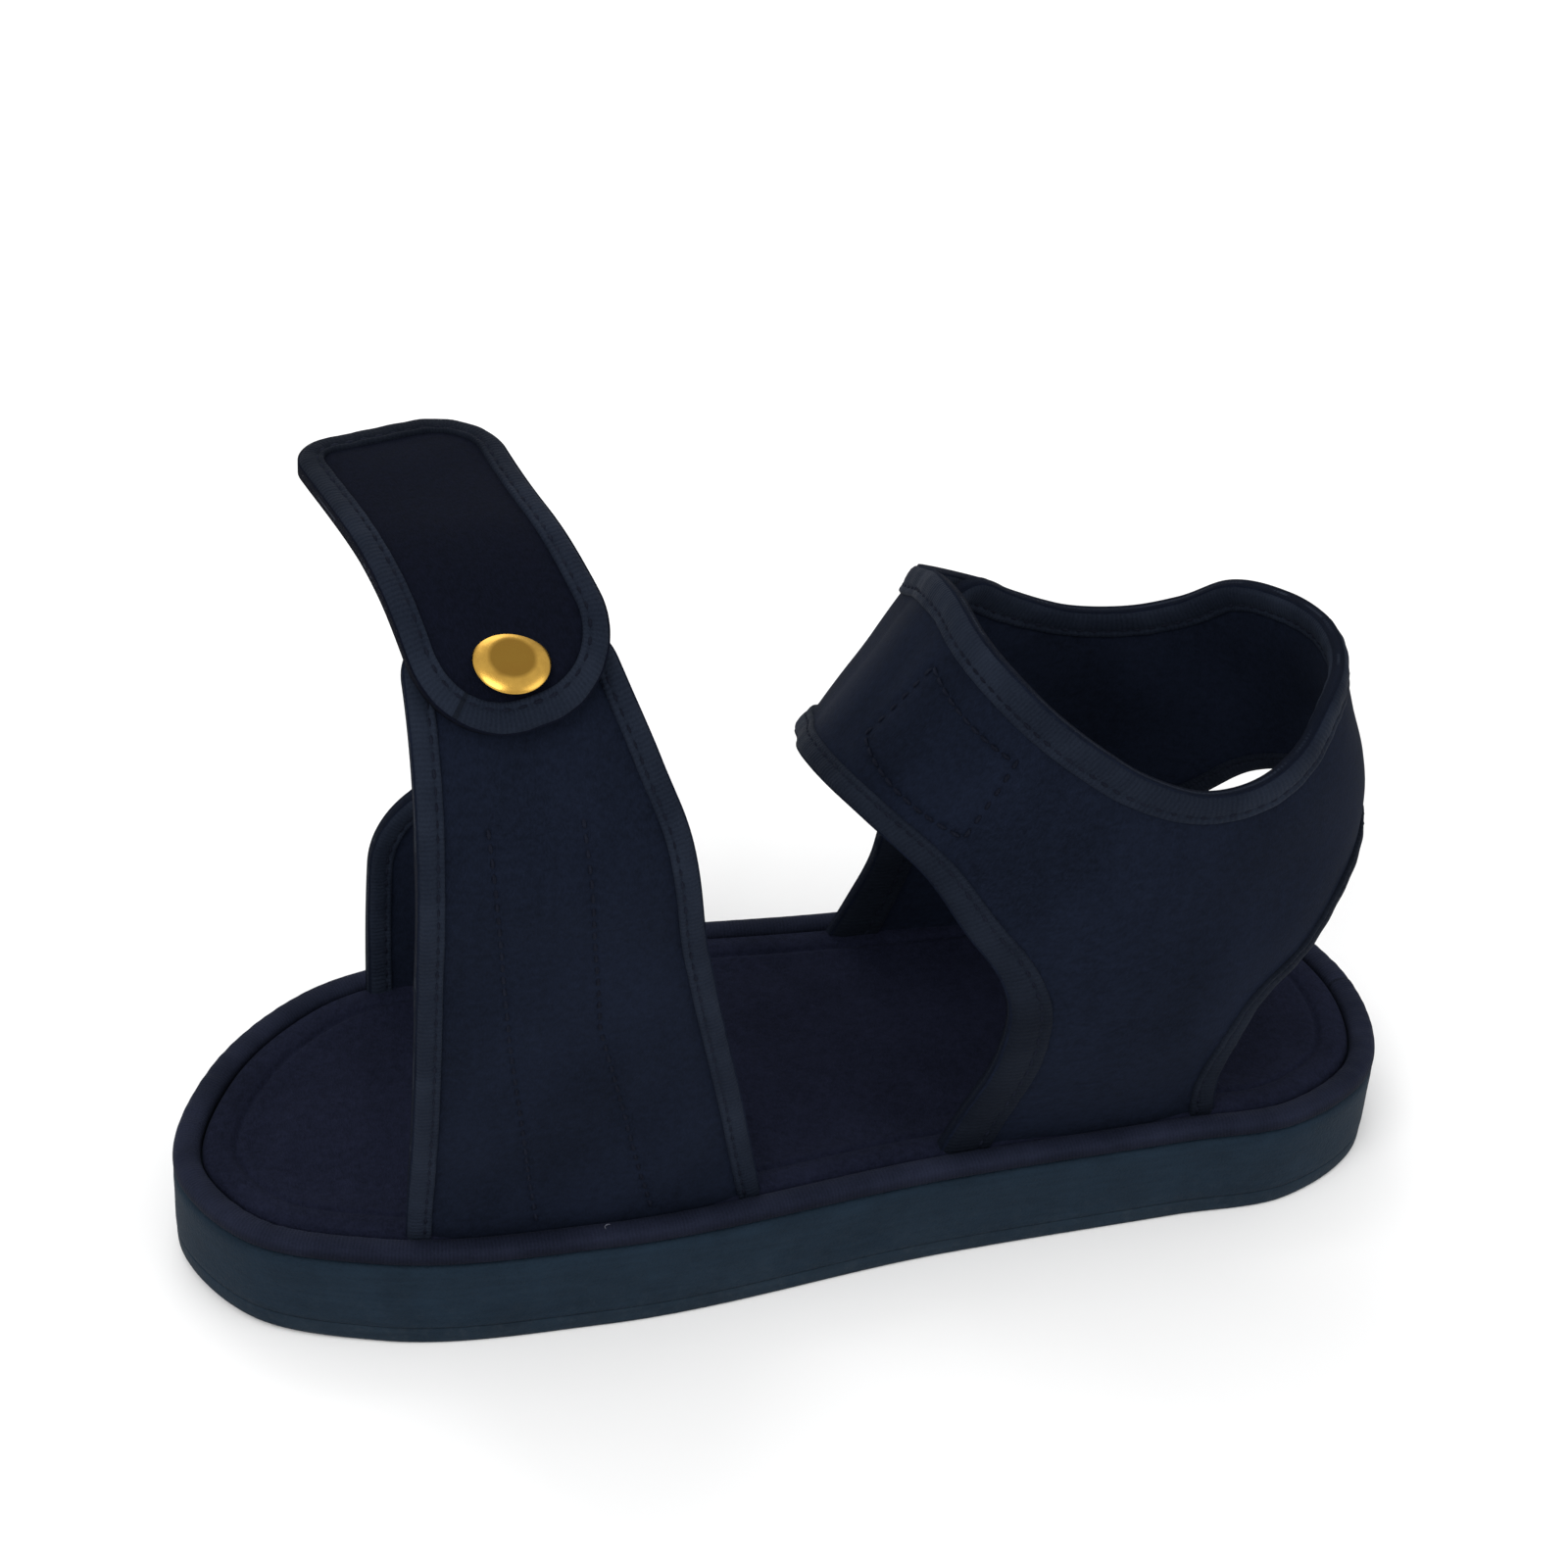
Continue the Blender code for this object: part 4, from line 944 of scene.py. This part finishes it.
def stitch_arrays(surface, path, sign, height, pitch=0.0031, length=0.0023, width=0.00042):
    """Lozenges along a path: a six-sided ring at five stations, thin and low at the ends."""
    run = lengths(path)[-1]
    count = max(2, int(run / pitch))
    at = (np.arange(count) + 0.5) * run / count
    centre, ahead = sample(path, at), sample(path, at + 4e-4)
    place, normal = surface(centre), normal_of(surface, centre) * sign
    way = surface(ahead) - place
    way = way / np.maximum(np.linalg.norm(way, axis=1), 1e-9)[:, None]
    side = np.cross(normal, way)
    station = np.array([-1.0, -0.62, 0.0, 0.62, 1.0])
    thick = np.array([0.35, 0.85, 1.0, 0.85, 0.35])
    drop = np.array([-0.00040, -0.00008, 0.00006, -0.00008, -0.00040])
    turn = np.linspace(0, 2 * math.pi, 6, endpoint=False)
    x = np.repeat(station * length / 2, 6)
    y = (thick[:, None] * width * np.cos(turn)).ravel()
    z = (thick[:, None] * width * 0.75 * np.sin(turn) + drop[:, None]).ravel() + height
    points = place[:, None] + way[:, None] * x[:, None] + side[:, None] * y[:, None]
    points = points + normal[:, None] * z[:, None]
    one = np.concatenate([net(5, 6, wrap_columns=True),
                          [[3, 2, 1, 0], [5, 4, 3, 0], [24, 25, 26, 27], [24, 27, 28, 29]]])
    faces = one[None] + (np.arange(count) * 30)[:, None, None]
    return points.reshape(-1, 3), faces.reshape(-1, 4)


def stitch_piece(name, surface, rows):
    """One piece from rows of a path and a height, each sewn on both faces of the panel."""
    piece(name, *joined([stitch_arrays(surface, path, sign, height) for path, height in rows
                         for sign in (1.0, -1.0)]), thread)


# %% [markdown]
# ## Creases
# Cloth that has been bent keeps a memory of it. Each crease here is a soft trough or ridge placed
# along a line on the pattern, with its own width and depth, on top of a faint unevenness.


# %% Creases
def creases(pattern, table):
    """Sum over the rows of depth times a bell curve of the distance from the row's line."""
    total = np.zeros(len(pattern))
    for x0, y0, x1, y1, width, depth in table:
        start, way = np.array([x0, y0]) * 1e-3, np.array([x1 - x0, y1 - y0]) * 1e-3
        t = np.clip(((pattern - start) @ way) / (way @ way), 0.0, 1.0)
        gap = np.linalg.norm(pattern - start - t[:, None] * way, axis=1) / (width * 1e-3)
        total = total + depth * 1e-3 * np.exp(-gap ** 2) * np.sin(math.pi * (0.15 + 0.7 * t))
    return total


def seam_lines(pattern, paths, width=0.0009, depth=0.00035):
    """Narrow trough along each stitched line."""
    return -depth * np.exp(-(nearest(pattern, paths) / width) ** 2)


# %% [markdown]
# ## Forefoot flaps
# Both flaps are one piece of laminate sewn into the sole's edge. The one on the big toe side is
# long, stands open and bends over at its top. Two seams run up it, where the hook tape inside is
# sewn on. The other flap is short and round-cornered.


# %% Flap outlines
def flap_sides(side, size, table, rise=150, across=70):
    """Four sides of a flap's pattern, with rounded top corners that the sides share."""
    rows = np.array(table)
    up = rows[:, 0] * size["length"]
    front, rear = (chain(np.stack([-side * (size["front"] - back + rows[:, k] * size["base"]),
                                   up], 1), 300) for k, back in ((1, 0.0), (2, size["base"])))
    right, left = (rear, front) if side > 0 else (front, rear)
    right_run, right_arc = corner(right, left, size["corner"])
    left_run, left_arc = corner(left, right, size["corner"])
    left_side, right_side = spaced(left_run, rise), spaced(right_run, rise)
    top = spaced(np.r_[left_arc, right_arc[::-1]], across)
    bottom = straight(left_side[0], right_side[0], across)
    edge = np.r_[right_side, top[::-1][1:], left_side[::-1][1:]]
    steps = 3 * int(lengths(edge)[-1] / (3 * EDGE_STEP))
    return bottom, right_side, top, left_side, spaced(edge, steps)


def build_flap(name, side, surface, size, table, crease_table, seams, seed):
    """Face, tape and stitches of one flap."""
    bottom, right, top, left, edge = flap_sides(side, size, table)

    def relief(pattern):
        soft = 0.0005 * ripple(pattern, 0.06, seed) * np.clip(pattern[:, 1] / 0.03, 0, 1)
        return creases(pattern, crease_table) + soft

    faced = moved(surface, relief)
    lines = [spaced(np.array(line) * 1e-3, 200) for line in seams]
    face_piece(name + "_face", faced, [fill(bottom, right, top, left)], [edge],
               lambda p: seam_lines(p, lines) if lines else 0.0 * p[:, 0],
               upper_cloth, 1.0, (name,), "upper_laminate")
    tape_piece(name + "_tape", faced, edge, 1.0, False, seed)
    stitch_piece(name + "_stitches", faced, [(inward(edge, STITCH_AT), EDGE_STITCH)]
                 + [(line, SEAM_STITCH) for line in lines])


# %% Medial flap
MEDIAL_CREASES = (
    (-94, 108, -46, 116, 8, -1.1), (-90, 60, -60, 74, 11, 0.8), (-38, 44, -60, 32, 9, -1.0),
    (-84, 98, -50, 90, 7, 0.8), (-92, 24, -70, 16, 7, -0.6), (-54, 6, -36, 26, 6, 0.6),
    (-96, 78, -84, 74, 6, -0.6), (-36, 70, -48, 66, 6, 0.6))
MEDIAL_SEAMS = (((-69.5, 4.0), (-78.0, 60.0), (-83.0, 112.0)),
                ((-45.0, 4.0), (-59.5, 60.0), (-64.5, 112.0)))
build_flap("medial_flap", 1, medial_surface, MEDIAL, MEDIAL_EDGES, MEDIAL_CREASES, MEDIAL_SEAMS, 21)

# %% Lateral flap
LATERAL_CREASES = ((40, 30, 75, 38, 9, 0.5), (35, 48, 60, 44, 8, -0.4))
build_flap("lateral_flap", -1, lateral_surface, LATERAL, LATERAL_EDGES, LATERAL_CREASES, (), 22)

# %% [markdown]
# ## Closing strap
# The strap lies on the long flap and turns on the snap. It rides on the same bent surface, one
# cloth's thickness further out, and its pattern is turned a little about the snap.

# %% Strap surface
STRAP = {"width": 0.0405, "end": 0.0375, "shift": 0.0016, "tail": 0.0116, "reach": 0.0690,
         "corners": (0.0160, 0.0085), "round": 0.90}
STRAP_FLARE = (0.0, -0.0002, 0.0004, 0.0021, 0.0036, 0.0046)
STRAP_TILT = math.radians(12.0)
SNAP_AT = np.array([-SNAP_X, SNAP_RUN])


def strap_surface(pattern):
    """Turn the pattern about the snap, then move the flap's surface out by the strap's lift."""
    across, along = -pattern[..., 0], pattern[..., 1]
    x = across * math.cos(STRAP_TILT) + along * math.sin(STRAP_TILT)
    length = along * math.cos(STRAP_TILT) - across * math.sin(STRAP_TILT)
    at = SNAP_AT + np.stack([-x, length], -1)
    return medial_surface(at) + normal_of(medial_surface, at) * STRAP_LIFT


# %% Strap pattern
def strap_pattern(across=44, rise=90):
    """Strap pattern: half width falls evenly to the far end, and all corners are rounded."""
    along = np.linspace(-STRAP["tail"], STRAP["reach"], 200)
    half = np.linspace(STRAP["width"], STRAP["end"], 200) / 2
    share = np.linspace(0.0, 1.0, 200)
    ease = smooth((0.0, 0.3, 0.55, 0.75, 0.9, 1.0), STRAP_FLARE, share)
    left = np.stack([STRAP["shift"] - half, along], 1)
    right = np.stack([STRAP["shift"] + half + ease, along], 1)
    low = half[0] * STRAP["round"]
    made = []
    for edge, other, size in ((right, left, STRAP["corners"][0]), (left, right, STRAP["corners"][1])):
        run, high = corner(edge, other, size)
        run = cut_back(run[::-1], low)[::-1]
        foot = rounded(toward(edge[0], other[0], low), edge[0], run[0])
        made.append((np.r_[foot[HALF_ARC:-1], run], high, foot[:HALF_ARC + 1]))
    (right, right_top, right_foot), (left, left_top, left_foot) = made
    top = spaced(np.r_[left_top, right_top[::-1]], across)
    bottom = spaced(np.r_[left_foot[::-1], right_foot], across)
    sides = bottom, spaced(right, rise), top, spaced(left, rise)
    edge = np.r_[bottom[:-1], sides[1][:-1], top[::-1][:-1], sides[3][::-1][:-1]]
    return sides, edge


# %% Strap pieces
sides, strap_edge = strap_pattern()
strap_edge = spaced(np.r_[strap_edge, strap_edge[:1]], 190)[:-1]
STRAP_CREASES = ((-20, -11, 22, -11, 6, 1.3), (-16, 10, 18, 12, 7, -0.8),
                 (-14, 30, 16, 26, 6, 0.35), (-10, 50, 16, 55, 7, 0.4))
strap_cloth_surface = moved(strap_surface, lambda p: creases(p, STRAP_CREASES))
face_piece("closing_strap_face", strap_cloth_surface, [fill(*sides)], [strap_edge],
           lambda p: -0.0004 * np.exp(-((np.linalg.norm(p, axis=1) - 0.006) / 0.004) ** 2),
           strap_cloth, 1.0, ("closing_strap",), "strap_cloth")
# Painted shade: the strap's tape is painted darker toward the strap's far end.
tape_piece("closing_strap_tape", strap_cloth_surface, strap_edge, 1.0, True, 31,
           painted_shading=1.0 - 1.05 * ramp(strap_edge[:, 1], 0.034, 0.058))
strap_row = inward(strap_edge, STITCH_AT, closed=True)
stitch_piece("closing_strap_stitches", strap_cloth_surface,
             [(np.r_[strap_row, strap_row[:1]], EDGE_STITCH)])

# %% [markdown]
# ## Snap
# The cap is a pressed brass dish: a flat middle, a sloping skirt and a rolled rim. Its post goes
# through strap and flap into a socket on the inside, and the strap turns on it.


# %% Turned pieces
def turned(name, profile, place, axis, surface, stands_for=(), slot=None, steps=96):
    """Surface of revolution: each profile row is a radius and a height along the axis."""
    profile = np.array(profile)
    axis = axis / np.linalg.norm(axis)
    first = np.cross(axis, (1.0, 0.0, 0.0))
    first = first / np.linalg.norm(first)
    second = np.cross(axis, first)
    turn = np.linspace(0, 2 * math.pi, steps, endpoint=False)
    round_it = np.cos(turn)[:, None] * first + np.sin(turn)[:, None] * second
    grid = place + profile[:, 0][:, None, None] * round_it[None]
    grid = grid + profile[:, 1][:, None, None] * axis
    uv = grid_uv(profile[:, 0], turn / (2 * math.pi))[:, ::-1]
    piece(name, *tube(grid), surface, uv, stands_for, slot)


# %% Snap pieces
snap_place = medial_surface(SNAP_AT)
snap_axis = normal_of(medial_surface, SNAP_AT)
CAP, CAP_UNIT = 0.0074, 0.0007
CAP_TILT = math.radians(42.0)
cap_axis = snap_axis * math.cos(CAP_TILT) + np.array([-0.05, 0.0, 1.0]) * math.sin(CAP_TILT)
UNDER = STRAP_LIFT + WALL / 2 + GAP
cap_rows = [(0.05, 2.20), (0.30, 2.20), (0.52, 2.20), (0.58, 2.19), (0.62, 2.15), (0.66, 2.07),
            (0.74, 1.84), (0.82, 1.55), (0.90, 1.18), (0.95, 0.88), (0.985, 0.58), (1.0, 0.34),
            (0.995, 0.14), (0.96, 0.02), (0.90, 0.0), (0.30, 0.0)]
turned("snap_cap_brass", [(r * CAP, h * CAP_UNIT) for r, h in cap_rows],
       snap_place + snap_axis * (UNDER - 0.0001), cap_axis, brass, ("snap_cap",), "snap_brass")
INSIDE = -WALL / 2 - 0.0009
socket_rows = [(0.0023, 0.0), (0.0053, 0.0), (0.0055, -0.0003), (0.0055, -0.0009),
               (0.0051, -0.0013), (0.0044, -0.0014), (0.0042, -0.0019), (0.0036, -0.0022),
               (0.0026, -0.0022), (0.0023, -0.0020)]
turned("snap_socket_brass", [(r, INSIDE + h) for r, h in socket_rows], snap_place, snap_axis,
       brass, ("snap_socket",), "snap_brass")
turned("snap_post_brass", [(0.0003, UNDER), (0.0019, UNDER), (0.0020, INSIDE - 0.0019),
                           (0.0016, INSIDE - 0.0022), (0.0003, INSIDE - 0.0022)],
       snap_place, snap_axis, brass)

# %% [markdown]
# ## Ankle upper
# The ankle part is one wall of laminate. It starts at the wing on the little toe side, goes round
# the heel, sends a leg down to the sole on either side, and comes over the instep as a strap that
# closes on the wing. Its pattern is the turn round the leg and the height, on a last given by a
# table of cross-sections.

# %% Ankle tables
LAST = np.array([
    (0.15, 0.050, 0.800, 0.304, 0.415), (0.31, 0.055, 0.725, 0.293, 0.430),
    (0.52, 0.050, 0.600, 0.279, 0.436), (0.69, 0.066, 0.503, 0.264, 0.413),
    (0.77, 0.081, 0.466, 0.261, 0.402), (0.96, 0.104, 0.400, 0.257, 0.381),
    (1.14, 0.120, 0.347, 0.250, 0.371)])
REAR_EDGE = ((0, 0.552), (20, 0.538), (33, 0.505), (46, 0.430), (58, 0.376))
LEG_REAR = ((58, 0.376), (62, 0.310), (64, 0.245), (63, 0.145))
LEG_FRONT = ((104, 0.145), (103.5, 0.240), (103.5, 0.350), (106.5, 0.460))
FRONT_EDGE = ((106.5, 0.460), (111, 0.515), (118, 0.566), (133, 0.648), (154, 0.697),
              (180, 0.706), (209, 0.668), (236, 0.600), (272, 0.500))
TOP_EDGE = ((0, 0.880), (20, 0.872), (42, 0.850), (56, 0.800), (68, 0.775), (84, 0.775),
            (99, 0.812), (110, 0.850), (124, 0.893), (140, 0.934), (159, 0.966),
            (180, 0.984), (194, 0.975), (209, 0.950), (236, 0.880), (272, 0.770))
END_CORNER = 0.0140
LOW_TAPE, TOP_TAPE = 0.0042, 0.0064


# %% Last surface
def last_surface(pattern):
    """Each height is an oval with its own back, front, middle and half width. The strap's part
    rides out over the wing, and below the join the wall runs down to the seam line."""
    turn, share = pattern[..., 0] / PATTERN_RADIUS, pattern[..., 1] / COLLAR_HEIGHT
    back, front, middle = (smooth(LAST[:, 0], LAST[:, k], share) * SOLE_LENGTH for k in (1, 2, 3))
    half = smooth(LAST[:, 0], LAST[:, 4], share) * HEEL_WIDTH + WALL / 2
    ahead = -np.cos(turn)
    reach = np.where(ahead > 0, front - middle, middle - back) + WALL / 2
    lift = STRAP_OVER_WING * eased(ramp(turn, *np.radians(LIFT_TURNS)))
    x = middle - SOLE_LENGTH / 2 + (reach + lift) * ahead
    y = (half + lift) * np.sin(turn)
    fade = eased(ramp(pattern[..., 1], LEG_REAR[0][1] * COLLAR_HEIGHT, SEAT))
    seat = np.where(y > 0, seat_y(x, 1), seat_y(x, -1))
    return np.stack([x, y + (seat - y) * fade, pattern[..., 1]], -1)


# %% [markdown]
# ### Ankle pattern
# The pattern is cut into four-sided blocks that share their borders: the heel band, and on each
# side the part above the leg, the leg and the part toward the front, whose end has round corners.


# %% Ankle pattern
def on_pattern(rows):
    """Rows of turn and share of collar height as pattern metres."""
    rows = np.array(rows, float)
    return np.stack([np.radians(rows[:, 0]) * PATTERN_RADIUS, rows[:, 1] * COLLAR_HEIGHT], 1)


def until(table, turn):
    """Rows of an edge up to a turn, with a last row there."""
    rows = np.array(table, float)
    kept = rows[rows[:, 0] < turn - 4.0]
    return np.r_[kept, [[turn, np.interp(turn, rows[:, 0], rows[:, 1])]]]


def nearest_index(path, point):
    """Index of the path's point nearest to a given one."""
    return int(np.argmin(((path - point) ** 2).sum(1)))


# %% One side of the ankle
def ankle_side(end_turn, columns, rear=54, leg=44, middle=40, upright=64):
    """Blocks of one side and its two free edges, in pattern metres."""
    front_line = chain(on_pattern(np.r_[LEG_FRONT[:-1], until(FRONT_EDGE, end_turn)]), 900)
    rear_line = chain(on_pattern(REAR_EDGE + LEG_REAR[1:]), 400)
    knee = nearest_index(front_line, on_pattern(FRONT_EDGE[:1]))
    heel = nearest_index(rear_line, on_pattern(LEG_REAR[:1]))
    low = front_line[knee:]
    high = chain(on_pattern(until(TOP_EDGE, end_turn)), 900)
    rear_edge, leg_rear = spaced(rear_line[:heel + 1], rear), spaced(rear_line[heel:], leg)
    leg_front = spaced(front_line[:knee + 1], leg)
    leg_rear[-1, 1] = leg_front[0, 1] = SEAT - 0.001
    low_run, low_arc = corner(low, high, END_CORNER)
    high_run, high_arc = corner(high, low, END_CORNER)
    front = spaced(low_run, columns)
    end = spaced(np.r_[low_arc, high_arc[::-1]], upright)
    split = [np.searchsorted(high[:, 0], edge) for edge in (rear_edge[-1, 0], leg_front[-1, 0])]
    top_rear = spaced(high[:split[0] + 1], rear)
    top_middle = spaced(high[split[0]:split[1] + 1], middle)
    start = high[split[1]]
    top_front = spaced(np.r_[[start], high_run[high_run[:, 0] > start[0]]], columns)
    rear_side = straight(rear_edge[-1], top_rear[-1], upright)
    front_side = straight(leg_front[-1], top_middle[-1], upright)
    front[0], front[-1], top_front[-1] = leg_front[-1], end[0], end[-1]
    heel_side = straight(rear_edge[0], top_rear[0], upright)
    cross = straight(rear_edge[-1], leg_front[-1], middle)
    foot = straight(leg_rear[-1], leg_front[0], middle)
    blocks = [fill(rear_edge, rear_side, top_rear, heel_side),
              fill(cross, front_side, top_middle, rear_side),
              fill(front, end, top_front, front_side),
              fill(foot, leg_front, cross, leg_rear[::-1])]
    rear_path = np.r_[rear_edge, leg_rear[1:]]
    front_path = np.r_[leg_front, front[1:], end[1:], top_front[::-1][1:],
                       top_middle[::-1][1:], top_rear[::-1][1:]]
    return blocks, rear_path, front_path


# %% Blocks of the ankle
strap_blocks, strap_rear, strap_front = ankle_side(STRAP_END_TURN, 130)
wing_blocks, wing_rear, wing_front = ankle_side(WING_END_TURN, 24)
mirror = np.array([-1.0, 1.0])
ankle_blocks = strap_blocks + [block[:, ::-1] * mirror for block in wing_blocks]
rear_edge_path = np.r_[(wing_rear * mirror)[::-1], strap_rear[1:]]
front_edge_path = np.r_[strap_front, (wing_front * mirror)[::-1][1:]]
rear_edge_path, front_edge_path = (spaced(path, int(lengths(path)[-1] / EDGE_STEP))
                                   for path in (rear_edge_path, front_edge_path))
print("ankle edges", round(lengths(front_edge_path)[-1] * 1000), "mm and",
      round(lengths(rear_edge_path)[-1] * 1000), "mm")

# %% [markdown]
# ### Ankle cloth
# The box of stitches on the strap holds a patch of hook tape on the inside. The cloth inside the
# box is drawn down a little. Long soft folds run from the leg toward the heel and the instep.

# %% Ankle creases
BOX = on_pattern(((167, 0.900), (130, 0.824), (131, 0.707), (172, 0.779)))
BOX_LINE = spaced(np.r_[BOX, BOX[:1]], 260)
ARC = math.pi / 180 * PATTERN_RADIUS * 1000
ANKLE_CREASES = (
    (62 * ARC, 45, 100 * ARC, 88, 12, 0.8), (45 * ARC, 92, 84 * ARC, 78, 11, -0.9),
    (70 * ARC, 60, 96 * ARC, 48, 9, -0.7), (108 * ARC, 84, 150 * ARC, 122, 10, -0.6),
    (176 * ARC, 108, 180 * ARC, 136, 6, -0.8), (20 * ARC, 96, 40 * ARC, 112, 9, 0.7),
    (-30 * ARC, 90, 0 * ARC, 110, 11, -0.7), (-80 * ARC, 50, -100 * ARC, 86, 12, 0.8),
    (-70 * ARC, 96, -40 * ARC, 84, 9, -0.7), (225 * ARC, 92, 250 * ARC, 112, 8, 0.5),
    (84 * ARC, 30, 90 * ARC, 44, 7, 0.6))


def ankle_relief(pattern):
    """Creases and a faint unevenness, which both die out at the sole."""
    foot = ramp(pattern[:, 1], SEAT, SEAT + 0.02)
    return (creases(pattern, ANKLE_CREASES) + 0.0006 * ripple(pattern, 0.075, 41)) * foot


ankle_surface = moved(last_surface, ankle_relief, -1.0)

# %% Ankle upper
face_piece("ankle_upper_face", ankle_surface, ankle_blocks, [rear_edge_path, front_edge_path],
           lambda p: seam_lines(p, [BOX_LINE], 0.0011, 0.00045), upper_cloth, -1.0,
           ("ankle_upper",), "upper_laminate")
top_rows = on_pattern(TOP_EDGE)
top_height = np.interp(np.abs(front_edge_path[:, 0]), top_rows[:, 0], top_rows[:, 1])
on_top = ramp(front_edge_path[:, 1] - top_height, -0.022, -0.004)
on_leg = ramp(front_edge_path[:, 1], 0.072, 0.060)
front_width = LOW_TAPE + (TOP_TAPE - LOW_TAPE) * on_top
# Painted light and shade on the tapes: the rear tape is painted dark, and the front tape lighter
# toward the top edge and darker on the leg.
tape_piece("ankle_rear_tape", ankle_surface, rear_edge_path, -1.0, False, 51, LOW_TAPE, 0.15)
tape_piece("ankle_front_tape", ankle_surface, front_edge_path, -1.0, False, 52,
           front_width, 0.55 + 0.30 * on_top - 0.55 * on_leg)
stitch_piece("ankle_stitches", ankle_surface, [
    (inward(rear_edge_path, STITCH_PLACE * LOW_TAPE), EDGE_STITCH),
    (inward(front_edge_path, STITCH_PLACE * front_width[:, None]), EDGE_STITCH),
    (BOX_LINE, SEAM_STITCH)])

# %% [markdown]
# ## Lint
# Dark napped cloth picks up pale fibres. Two short curled ones lie on the roll.


# %% Lint
LINT = (((0.0555, 0.0473, 0.0257), 0.6, 0.0026, 2.6), ((-0.0277, 0.0324, 0.0246), 2.3, 0.0020, 1.8))


def fibre(place, heading, length, curl):
    """Thin six-sided tube along an arc that lies on the cloth, closed at both ends."""
    along = np.linspace(-0.5, 0.5, 9)
    turn = heading + curl * along
    line = np.cumsum(np.stack([np.cos(turn), np.sin(turn), 0 * turn], 1), 0) * length / 9
    line = line - line.mean(0) + place
    side = np.stack([-np.sin(turn), np.cos(turn), 0 * turn], 1)
    ring = np.linspace(0, 2 * math.pi, 6, endpoint=False)
    thick = 0.00013 * np.array([0.3, 0.8, 1, 1, 1, 1, 1, 0.8, 0.3])
    points = line[:, None] + thick[:, None, None] * (
        np.cos(ring)[None, :, None] * side[:, None] + np.sin(ring)[None, :, None] * (0.0, 0.0, 1.0))
    points = points.reshape(-1, 3)
    ends = np.array([[0, 1, 2, 3], [0, 3, 4, 5], [51, 50, 49, 48], [53, 52, 51, 48]])
    return points, closed_faces(points, np.concatenate([net(9, 6, False, True), ends[:, ::-1]]))


lint = finish("lint", "ribbed_tape", (0.05, 0.055, 0.075), (0.15, 0.16, 0.20), 0.00004, 12000.0,
              use_uv=False, shine=0.1)
piece("lint_fibres", *joined([fibre(*row) for row in LINT]), lint)

# %% [markdown]
# ## Stage
# A pale floor runs out of sight, and large soft lamps light the sandal from the upper left, from
# the right and from behind, as in a product photo. The camera stands where the photo was taken:
# a little in front of the sandal's side, a third of a right angle above it, with a slight roll.

# %% Floor
floor_mesh = bpy.data.meshes.new("floor")
floor_mesh.from_pydata([(-4, -4, 0), (4, -4, 0), (4, 4, 0), (-4, 4, 0)], [], [(0, 1, 2, 3)])
floor = put("floor", floor_mesh)
paper, body = material("paper")
body.inputs["Base Color"].default_value = (0.93, 0.93, 0.93, 1.0)
body.inputs["Roughness"].default_value = 0.9
floor_mesh.materials.append(paper)
floor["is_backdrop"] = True


# %% Lamps
def lamp(name, place, target, size, power):
    """Square soft lamp that faces a target."""
    data = bpy.data.lights.new(name, "AREA")
    data.shape, data.size, data.energy = "SQUARE", size, power
    made = put(name, data)
    place, target = np.array(place), np.array(target)
    made.location = place
    way = Vector(target - place)
    made.rotation_euler = way.to_track_quat("-Z", "Y").to_euler()


MIDDLE = (0.0, 0.0, 0.08)
lamp("key", (0.75, 0.75, 1.05), MIDDLE, 0.9, 9.5)
lamp("fill", (-0.95, 0.85, 0.70), MIDDLE, 1.0, 4.0)
lamp("back", (0.10, -1.10, 1.10), MIDDLE, 1.0, 5.5)
world = bpy.data.worlds.new("studio")
world.use_nodes = True
light = world.node_tree.nodes["Background"].inputs
light["Color"].default_value = (1.0, 1.0, 1.0, 1.0)
light["Strength"].default_value = 0.84
bpy.context.scene.world = world
bpy.context.scene.view_settings.view_transform = "Standard"

# %% Camera
AZIMUTH, ELEVATION, ROLL, DISTANCE = (math.radians(19.1), math.radians(33.0), math.radians(4.2),
                                      0.705)
aim = np.array([-0.003, -0.029, 0.080])
back_way = np.array([math.sin(AZIMUTH) * math.cos(ELEVATION),
                     math.cos(AZIMUTH) * math.cos(ELEVATION), math.sin(ELEVATION)])
level = np.array([-math.cos(AZIMUTH), math.sin(AZIMUTH), 0.0])
upright = np.cross(back_way, level)
right = level * math.cos(ROLL) + upright * math.sin(ROLL)
up = -level * math.sin(ROLL) + upright * math.cos(ROLL)
place = aim + back_way * DISTANCE
camera_data = bpy.data.cameras.new("camera")
camera_data.sensor_width, camera_data.lens = 36.0, 72.0
camera = put("camera", camera_data)
camera.matrix_world = Matrix([[right[k], up[k], back_way[k], place[k]] for k in range(3)]
                                + [[0.0, 0.0, 0.0, 1.0]])
bpy.context.scene.camera = camera

# %% [markdown]
# ## Sizes at the end
# The dressed sandal should keep the size of the solids, and the box of the shown scene is printed.

# %% Print the box of the scene
low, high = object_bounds()
print("scene box", [round(v * 1000, 1) for v in (*low, *high)])
